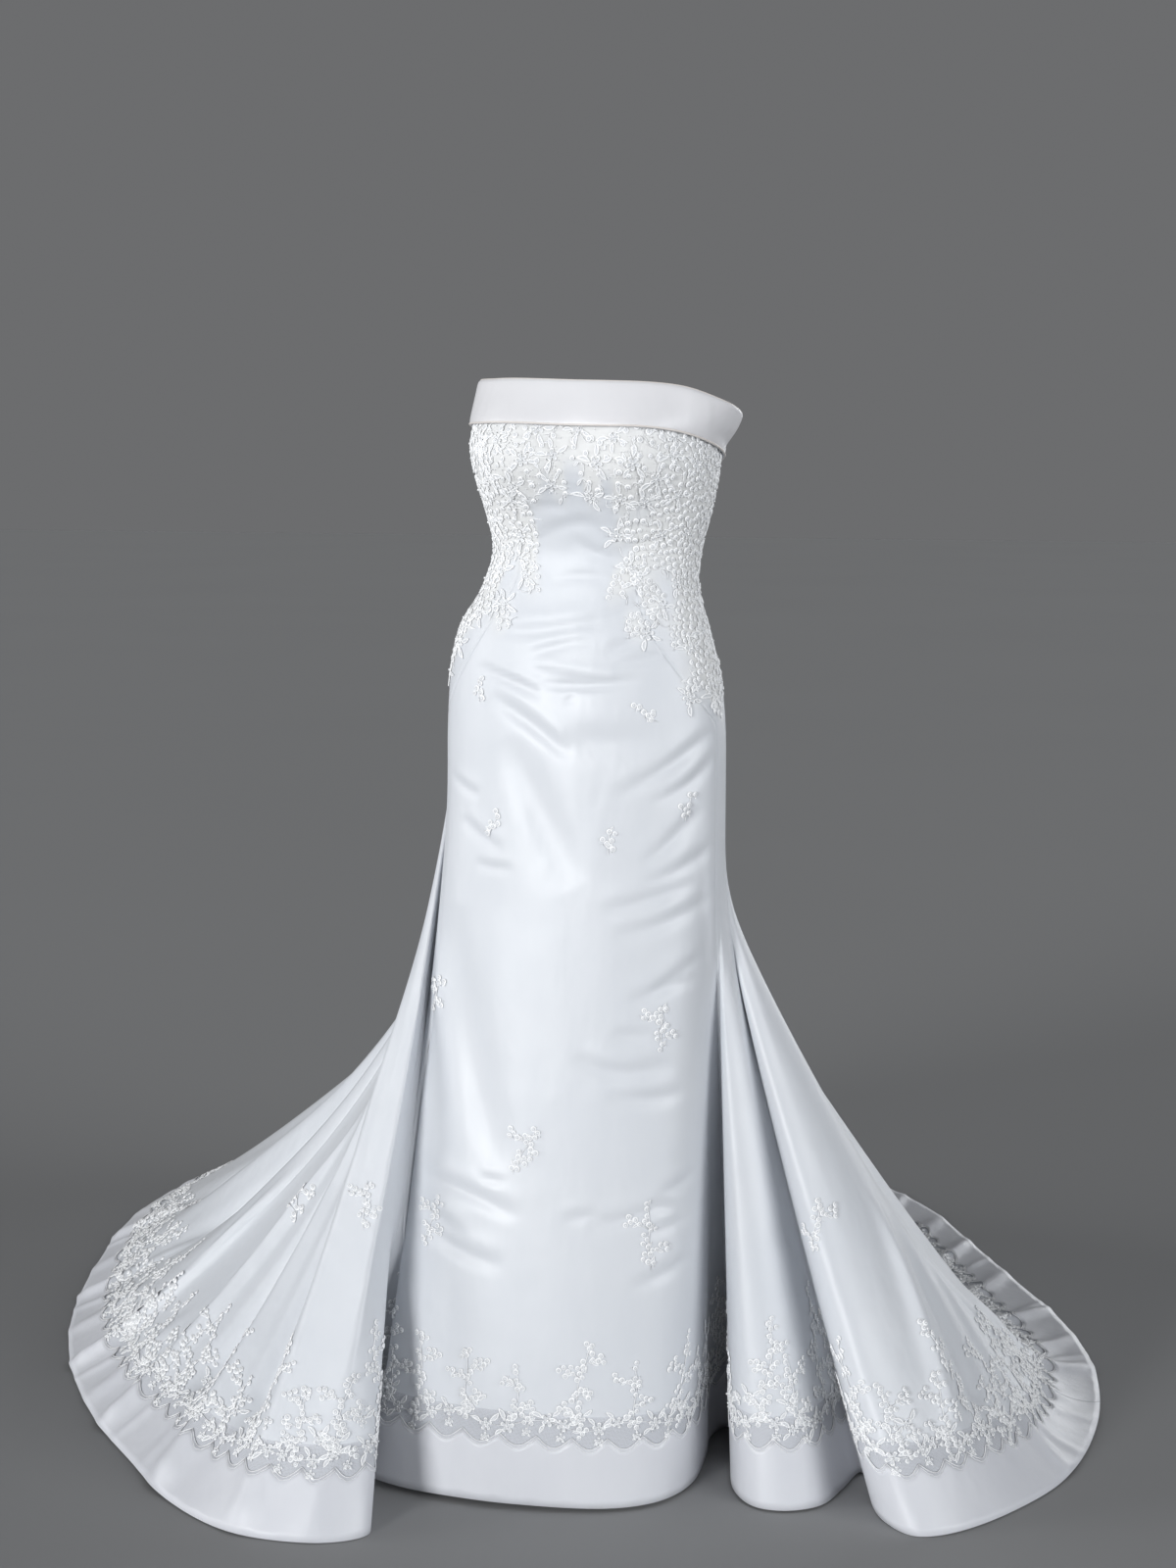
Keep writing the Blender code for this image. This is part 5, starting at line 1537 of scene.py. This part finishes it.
def scatter(outline, apart, tries, taken, clear):
    # places inside an outline, no two closer than their distance apart, and clear of those taken
    corners = np.array(outline)
    low, high = corners.min(axis=0), corners.max(axis=0)
    scale = np.array((bodiceLace["metresPerDegree"], 1.0))
    spots = low + (high - low) * chance.random((tries, 2))
    spots = spots[inside(outline, spots[:, 0], spots[:, 1])]
    found = []
    kept = [np.array(spot) * scale for spot in taken]
    others = len(kept)
    for spot in spots:
        near = spot * scale
        if others and (np.linalg.norm(np.array(kept[:others]) - near, axis=1) < clear).any():
            continue
        if len(kept) > others and (np.linalg.norm(np.array(kept[others:]) - near, axis=1) < apart).any():
            continue
        kept.append(near)
        found.append(tuple(spot))
    return found


def makeBodiceLace():
    works = {"front": newWork(), "side_left": newWork(), "side_right": newWork()}

    def each(spots):
        # the work on the panel that a spot lies on, its place and its row
        for degrees, height in spots:
            seam = seamDegrees((1, 1), height)[0]
            panel = "front" if abs(degrees) < seam else "side_left" if degrees > 0 else "side_right"
            yield works[panel], *bodiceSpot(degrees, height)

    for zone in bodiceLace["zones"].values():
        found = {"flower": []}
        for (kind, (tries, clear)), apart in zip(bodiceLace["kinds"].items(), zone["apart"]):
            found[kind] = scatter(zone["outline"], apart, tries, found["flower"], clear)
        for work, place, row in each(found["flower"]):
            start = anyTurn()
            rosette(work, place, row, anySize("flower"), [start + i * 1.3 for i in range(4)])
        for work, place, row in each(found["blossom"]):
            size = anySize("blossom")
            addMotif(work, "blossom", place, row, anyTurn(), size)
        for work, place, row in each(found["leaf"]):
            addMotif(work, "leaf", place, row, anyTurn(), anySize("smallLeaf"))
        for work, place, row in each(found["bead"]):
            addMotif(work, "bead", place, row, 0.0, anySize("bead"))
        for work, place, row in each(found["leaf"]):
            # a curling stem towards a neighbour
            turn = anyTurn()
            t = np.linspace(0, 1, 7)
            reach = chance.uniform(*bodiceLace["stemLength"])
            curl = np.array((math.cos(turn), math.sin(turn)))[:, None] * t * reach
            aside = np.array((-math.sin(turn), math.cos(turn)))[:, None] * np.sin(4.0 * t)
            addStem(work, *spotOnCloth(place, row, *(curl + aside * bodiceLace["stemCurl"])))
    return {name: buildLace(works[name], "lace_on_bodice_" + name, "lace_bodice_" + name) for name in works}


def underNet(panel):
    # share of fine ivory net behind the lace at each point of a panel, faded at its edge
    degrees = np.interp(panel["places"] % cloth["hemLength"], cloth["ribPlaces"], cloth["degrees"])
    degrees = (degrees + 180) % 360 - 180
    height = panel["points"][..., 2]
    covered = np.zeros(degrees.shape)
    for zone in bodiceLace["zones"].values():
        covered = np.maximum(covered, inside(zone["outline"], degrees, height))
    for _ in range(6):
        soften(covered)
        soften(covered.T)
    return covered


# Single sprays on the skirt: number, panel, side it is seen from, its two coordinates there, length, turn
sprays = (
    (1, "front_centre", "front", (-0.112, -0.167), 0.028, 20),
    (2, "front_centre", "front", (0.100, -0.188), 0.028, 60),
    (3, "front_centre", "front", (0.152, -0.302), 0.036, 0),
    (4, "front_centre", "front", (-0.090, -0.325), 0.034, -10),
    (5, "front_centre", "front", (0.055, -0.337), 0.032, 10),
    (6, "front_centre", "front", (-0.176, -0.545), 0.048, 0),
    (7, "front_centre", "front", (0.120, -0.562), 0.056, 12),
    (8, "front_centre", "front", (-0.038, -0.712), 0.066, -14),
    (9, "front_centre", "front", (0.108, -0.820), 0.080, 14),
    (10, "front_centre", "front", (-0.164, -0.815), 0.066, 0),
    (11, "side_left", "front", (0.298, -0.807), 0.066, 16),
    (12, "side_right", "front", (-0.390, -0.842), 0.060, 24),
    (13, "side_right", "front", (-0.232, -0.790), 0.060, 12),
    (14, "back_left", "above", (0.260, 0.620), 0.090, 30),
    (15, "back_left", "above", (0.060, 0.860), 0.100, 8),
    (16, "back_right", "above", (-0.300, 0.820), 0.100, -12),
    (17, "back_right", "above", (-0.520, 0.620), 0.090, -30),
)


def nearestPoint(panel, seenFrom, spot):
    # the point of a panel that shows at a spot: of those close to it, the one nearest to the viewer
    points = panel["points"]
    if seenFrom == "front":
        flat, depth = points[..., (0, 2)], points[..., 1]
    else:
        flat, depth = points[..., (0, 1)], -points[..., 2]
    away = np.linalg.norm(flat - np.array(spot), axis=-1)
    best = np.unravel_index((away + np.where(away < 0.012, depth - 10, 0)).argmin(), away.shape)
    return panel["places"][best], panel["rowsAt"][best]


def makeSprays():
    made = {}
    byName = {panel["name"]: panel for panel in panels}
    steps = stemSizes["spraySteps"]
    t = np.linspace(-0.5, 0.5, steps)
    for number, panelName, seenFrom, spot, length, turn in sprays:
        place, row = nearestPoint(byName[panelName], seenFrom, spot)
        work = newWork()
        turned = math.radians(turn)
        bend = stemSizes["sprayBend"] * length * np.sin(3.4 * t)
        across = bend * math.cos(turned) - t * length * math.sin(turned)
        up = bend * math.sin(turned) + t * length * math.cos(turned)
        places, rows = spotOnCloth(place, row, across, up)
        addStem(work, places, rows)
        count = max(int(round(length / stemSizes["sprayClusters"])), 2)
        side = 1 if number % 2 else -1
        for i in range(count):
            at = int(round((i + 0.6) / count * (steps - 1)))
            off = side * chance.uniform(*stemSizes["clusterOff"])
            cluster(work, *spotOnCloth(places[at], rows[at], off, 0.0), 3 if i % 2 else 2)
            if i % 2 == 0:
                leafTurn = turned - side * chance.uniform(0.7, 1.2)
                addMotif(work, "leaf", places[at], rows[at], leafTurn, anySize("smallLeaf"))
            side = -side
        if length > stemSizes["longSpray"]:
            upper, lower = stemSizes["sprayBranches"]
            branch(work, places[5], rows[5], side, length * upper, 4)
            branch(work, places[2], rows[2], -side, length * lower, 3)
        name = "spray_%02d" % number
        made[name] = buildLace(work, name, "lace_sprig_%02d" % number)
    return made


def newGroup(name, inputs, outputs):
    # an empty node group with named sockets of their kinds
    group = bpy.data.node_groups.new(name, "ShaderNodeTree")
    for sockets, way in ((inputs, "INPUT"), (outputs, "OUTPUT")):
        for label, kind in sockets.items():
            group.interface.new_socket(label, in_out=way, socket_type="NodeSocket" + kind)
    return group, group.nodes.new("NodeGroupInput").outputs, group.nodes.new("NodeGroupOutput")


def setInputs(tree, node, values):
    # links or sets each named input of a node, colours without their alpha
    for label, value in values.items():
        socket = node.inputs[label]
        if isinstance(value, bpy.types.NodeSocket):
            tree.links.new(value, socket)
        else:
            socket.default_value = (*value, 1.0) if socket.type == "RGBA" else value
    return node


def addMath(tree, operation, first, second):
    made = tree.nodes.new("ShaderNodeMath")
    made.operation = operation
    return setInputs(tree, made, {0: first, 1: second}).outputs[0]


def weightedSum(tree, *terms):
    # each term is a socket with its weight, or a plain number
    total = None
    for term in terms:
        value = addMath(tree, "MULTIPLY", *term) if isinstance(term, tuple) else term
        total = value if total is None else addMath(tree, "ADD", total, value)
    return total


def addRange(tree, value, low, high, atLow=0.0, atHigh=1.0):
    made = tree.nodes.new("ShaderNodeMapRange")
    ends = {"From Min": low, "From Max": high, "To Min": atLow, "To Max": atHigh}
    return setInputs(tree, made, {"Value": value, **ends}).outputs["Result"]


def addNoise(tree, vector, scale, detail=2.0, rough=0.5):
    made = tree.nodes.new("ShaderNodeTexNoise")
    values = {"Vector": vector, "Scale": scale, "Detail": detail, "Roughness": rough}
    return setInputs(tree, made, values).outputs["Fac"]


def addMix(tree, share, first, second):
    made = tree.nodes.new("ShaderNodeMix")
    made.data_type = "RGBA"
    return setInputs(tree, made, {0: share, 6: first, 7: second}).outputs[2]


def addWave(tree, vector, scale, direction, distortion):
    made = tree.nodes.new("ShaderNodeTexWave")
    made.bands_direction = direction
    values = {"Vector": vector, "Scale": scale, "Distortion": distortion}
    return setInputs(tree, made, values).outputs["Fac"]


def stretched(tree, vector, scale):
    made = tree.nodes.new("ShaderNodeMapping")
    return setInputs(tree, made, {"Vector": vector, "Scale": scale}).outputs["Vector"]


def addBump(tree, target, height, distance, strength):
    # target is the shader, or a finer bump that lies on this one
    made = tree.nodes.new("ShaderNodeBump")
    setInputs(tree, made, {"Height": height, "Distance": distance, "Strength": strength})
    tree.links.new(made.outputs["Normal"], target.inputs["Normal"])
    return made


def placeGroup(tree, group, **values):
    made = tree.nodes.new("ShaderNodeGroup")
    made.node_tree = group
    return setInputs(tree, made, values).outputs


def buildTintGroup():
    # slow changes of tone over the cloth, from cool to faintly warm
    inputs = {"Vector": "Vector", "Cloth": "Color", "Shade": "Color"}
    outputs = {"Color": "Color", "Mask": "Float", "Height": "Float"}
    group, start, end = newGroup("clothTint", inputs, outputs)
    vector = start["Vector"]
    broad = addNoise(group, vector, 3.2, 3.0, 0.55)
    fine = addNoise(group, stretched(group, vector, (1.0, 1.0, 0.35)), 34.0, 3.0, 0.6)
    mask = addRange(group, weightedSum(group, (broad, 0.75), (fine, 0.25)), 0.34, 0.66)
    colour = addMix(group, mask, start["Cloth"], start["Shade"])
    crumple = addNoise(group, stretched(group, vector, (1.0, 1.0, 0.5)), 13.0, 3.0, 0.5)
    setInputs(group, end, {"Color": colour, "Mask": mask, "Height": crumple})
    return group


def buildWeaveGroup():
    # satin floats: long fine threads down the cloth, crossed by weaker ones, with a few slubs
    group, start, end = newGroup("satinWeave", {"Vector": "Vector"}, {"Height": "Float"})
    vector = start["Vector"]
    warp = addWave(group, vector, 520.0, "X", 1.2)
    weft = addWave(group, vector, 380.0, "Y", 1.6)
    slub = addNoise(group, stretched(group, vector, (1.0, 0.10, 1.0)), 900.0, 2.0, 0.6)
    setInputs(group, end, {"Height": weightedSum(group, (warp, 0.55), (weft, 0.2), (slub, 0.5))})
    return group


def buildNetGroup():
    # threads of a fine net between cells, as a mask and a height
    inputs = {"Vector": "Vector", "Cell": "Float"}
    group, start, end = newGroup("netThreads", inputs, {"Thread": "Float", "Height": "Float"})
    cells = group.nodes.new("ShaderNodeTexVoronoi")
    cells.feature = "DISTANCE_TO_EDGE"
    setInputs(group, cells, {"Vector": start["Vector"], "Scale": start["Cell"], "Randomness": 0.35})
    threads = addRange(group, cells.outputs["Distance"], 0.10, 0.20, 1.0, 0.0)
    setInputs(group, end, {"Thread": threads, "Height": threads})
    return group


def newMaterial(name, colour, roughness, **constants):
    # a Principled material whose constants sit on the shader's own sockets
    made = bpy.data.materials.new(name)
    made.use_nodes = True
    tree = made.node_tree
    shader = setInputs(tree, tree.nodes["Principled BSDF"], {"Base Color": colour, "Roughness": roughness})
    setInputs(tree, shader, {label.replace("_", " "): value for label, value in constants.items()})
    return made, shader, tree, tree.nodes.new("ShaderNodeTexCoord").outputs


# Finishes of satin, and what the fine net behind the lace does to it
satinLook = {
    "sheen": 0.12,
    "sheenRoughness": 0.45,
    "roughSpread": 0.08,
    "net": 0.75,
    "netColour": (0.745, 0.745, 0.735),
    "netRoughness": 0.35,
    # colour, its shade and roughness
    "finishes": {
        "satin": ((0.655, 0.676, 0.712), (0.615, 0.640, 0.682), 0.40),
        "bandSatin": ((0.645, 0.657, 0.695), (0.60, 0.613, 0.658), 0.42),
        "cuffSatin": ((0.695, 0.695, 0.715), (0.66, 0.655, 0.68), 0.38),
        "piping": ((0.71, 0.67, 0.64), (0.66, 0.62, 0.59), 0.45),
        "zipTape": ((0.82, 0.83, 0.85), (0.78, 0.79, 0.82), 0.6),
    },
}


def satinMaterial(name, colour, shade, roughness):
    sheen = {"Sheen_Weight": satinLook["sheen"], "Sheen_Roughness": satinLook["sheenRoughness"]}
    made, shader, tree, spot = newMaterial(name, colour, roughness, **sheen)
    tint = placeGroup(tree, tintGroup, Vector=spot["Object"], Cloth=colour, Shade=shade)
    behind = tree.nodes.new("ShaderNodeAttribute")
    behind.attribute_name = "underNet"
    netted = addMath(tree, "MULTIPLY", behind.outputs["Fac"], satinLook["net"])
    spread = satinLook["roughSpread"]
    rough = weightedSum(
        tree, (tint["Mask"], spread), roughness - spread / 2, (netted, satinLook["netRoughness"])
    )
    mixed = addMix(tree, netted, tint["Color"], satinLook["netColour"])
    setInputs(tree, shader, {"Base Color": mixed, "Roughness": rough})
    weave = placeGroup(tree, weaveGroup, Vector=spot["UV"])
    threads = addBump(tree, shader, weave["Height"], 0.00012, 0.35)
    addBump(tree, threads, tint["Height"], 0.006, 0.6)
    return made


def netMaterial(name, colour, low, cell):
    # low is what shows of the net between its threads
    made, shader, tree, spot = newMaterial(name, colour, 0.65)
    threads = placeGroup(tree, netGroup, Vector=spot["UV"], Cell=cell)
    setInputs(tree, shader, {"Alpha": weightedSum(tree, (threads["Thread"], 0.95 - low), low)})
    addBump(tree, shader, threads["Height"], 0.0002, 0.5)
    return made


def threadMaterial():
    # twisted corded thread with a soft lustre; the grey along its twist is painted shade for the hollows of
    # the twist, broken up by a random speckle of tone
    made, shader, tree, spot = newMaterial("thread", (0.93, 0.94, 0.95), 0.42, Sheen_Weight=0.2)
    twist = addWave(tree, spot["Object"], 190.0, "DIAGONAL", 2.5)
    speckle = addNoise(tree, spot["Object"], 420.0, 2.0, 0.6)
    # painted shade: the twist pattern, scaled by the random speckle, greys the thread up to half way
    share = addMath(tree, "MULTIPLY", addMath(tree, "MULTIPLY", twist, speckle), 0.5)
    setInputs(tree, shader, {"Base Color": addMix(tree, share, (0.95, 0.955, 0.965), (0.80, 0.82, 0.85))})
    addBump(tree, shader, twist, 0.0003, 0.4)
    return made


def metalMaterial():
    made, shader, tree, spot = newMaterial("zipMetal", (0.78, 0.79, 0.81), 0.28, Metallic=1.0)
    worn = addNoise(tree, spot["Object"], 300.0, 4.0, 0.6)
    colour = addMix(tree, worn, (0.82, 0.83, 0.85), (0.66, 0.67, 0.70))
    setInputs(tree, shader, {"Base Color": colour, "Roughness": weightedSum(tree, (worn, 0.25), 0.18)})
    return made


def pearlMaterial():
    coat = {"Coat_Weight": 0.6, "Coat_Roughness": 0.05}
    made, shader, tree, spot = newMaterial("pearl", (0.90, 0.90, 0.90), 0.10, **coat)
    glow = addNoise(tree, spot["Object"], 260.0, 2.0, 0.5)
    setInputs(tree, shader, {"Base Color": addMix(tree, glow, (0.92, 0.905, 0.90), (0.80, 0.83, 0.87))})
    return made


def fillMaterial():
    # the fine net that fills a petal: partly see-through, with a grain
    made, shader, tree, spot = newMaterial("petalNet", (0.80, 0.82, 0.85), 0.6)
    grain = addNoise(tree, spot["Object"], 900.0, 2.0, 0.7)
    setInputs(tree, shader, {"Alpha": weightedSum(tree, (grain, 0.4), 0.5)})
    return made


# Soft wide suns light the floor evenly out to the horizon: direction, width, strength, colour
studio = {
    "floor": (0.362, 0.364, 0.368),
    "patches": (1.02, 0.98),
    "air": (0.150, 0.152, 0.156),
    "suns": {
        "key": ((0.36, 0.93, -0.09), 16, 2.40, (0.985, 0.995, 1.0)),
        "left": ((0.92, 0.36, -0.08), 30, 1.65, (0.98, 0.99, 1.0)),
        "right": ((-0.93, 0.37, -0.08), 40, 2.55, (0.96, 0.98, 1.0)),
        "back": ((-0.35, -1.0, -0.16), 35, 0.90, (0.96, 0.98, 1.0)),
    },
}

# The camera stands a little to the wearer's left and looks down at the hips
camera = {"at": (0.786, -2.740, 0.122), "down": 8.16, "round": 16.0, "lens": 54.0, "sensor": 36.0}


def makeStage():
    deselectAll()
    bpy.ops.mesh.primitive_plane_add(size=60, location=(0, 0, figure["stands"]))
    floor = bpy.context.object
    floor.name = "studio_floor"
    made, shader, tree, spot = newMaterial("studioFloor", studio["floor"], 0.9, Specular_IOR_Level=0.0)
    patch = addNoise(tree, spot["Object"], 0.5, 2.0, 0.5)
    tones = [tuple(channel * share for channel in studio["floor"]) for share in studio["patches"]]
    setInputs(tree, shader, {"Base Color": addMix(tree, patch, *tones)})
    floor.data.materials.append(made)
    world = bpy.data.worlds.new("studio")
    bpy.context.scene.world = world
    world.use_nodes = True
    setInputs(world.node_tree, world.node_tree.nodes["Background"], {"Color": studio["air"]})
    for name, (ahead, spread, strength, colour) in studio["suns"].items():
        deselectAll()
        bpy.ops.object.light_add(type="SUN", location=(0, 0, 3))
        sun = bpy.context.object
        sun.name = name
        sun.data.energy = strength
        sun.data.angle = math.radians(spread)
        sun.data.color = colour
        flat = math.hypot(ahead[0], ahead[1])
        sun.rotation_euler = (math.atan2(flat, -ahead[2]), 0, math.atan2(-ahead[0], ahead[1]))
    deselectAll()
    bpy.ops.object.camera_add(location=camera["at"])
    eye = bpy.context.object
    eye.rotation_euler = (math.radians(90 - camera["down"]), 0, math.radians(camera["round"]))
    eye.data.lens = camera["lens"]
    eye.data.sensor_width = camera["sensor"]
    bpy.context.scene.camera = eye
    bpy.context.scene.view_settings.view_transform = "Standard"


print("stage")
makeStage()
print("finishes")
tintGroup, weaveGroup, netGroup = buildTintGroup(), buildWeaveGroup(), buildNetGroup()
satins = {name: satinMaterial(name, *look) for name, look in satinLook["finishes"].items()}
satin, bandSatin, cuffSatin, piping, zipTape = satins.values()
net = netMaterial("net", (0.66, 0.68, 0.73), 0.62, 620.0)
thread, petalNet, pearl, zipMetal = threadMaterial(), fillMaterial(), pearlMaterial(), metalMaterial()
print("cloth")
cloth = buildCloth()
placePanels()
satinPieces = makePanels()
bands = makeBands()
nets = makeSheerStrips()
print("cuffs and zip")
cuffs = makeCuffs()
tape, teeth = makeZipTape(), makeZipTeeth()
finishZipMetal()
print("lace")
chance = np.random.default_rng(lace["seed"])
shapes = {"flower": modelFlower(), "blossom": modelBlossom(), "leaf": modelLeaf(), "bead": modelBead()}
borders = {panel["name"]: makeBorderLace(panel) for panel in panels}
bodicePieces = makeBodiceLace()
sprayPieces = makeSprays()
print("sheets")
# the lace that each panel wears: its border, its sprays and, on the front and sides, its bodice lace
for panel in panels:
    name = panel["name"]
    worn = [borders[name]] + [sprayPieces["spray_%02d" % spray[0]] for spray in sprays if spray[1] == name]
    if "back" not in name:
        worn.append(bodicePieces["front" if name == "front_centre" else name])
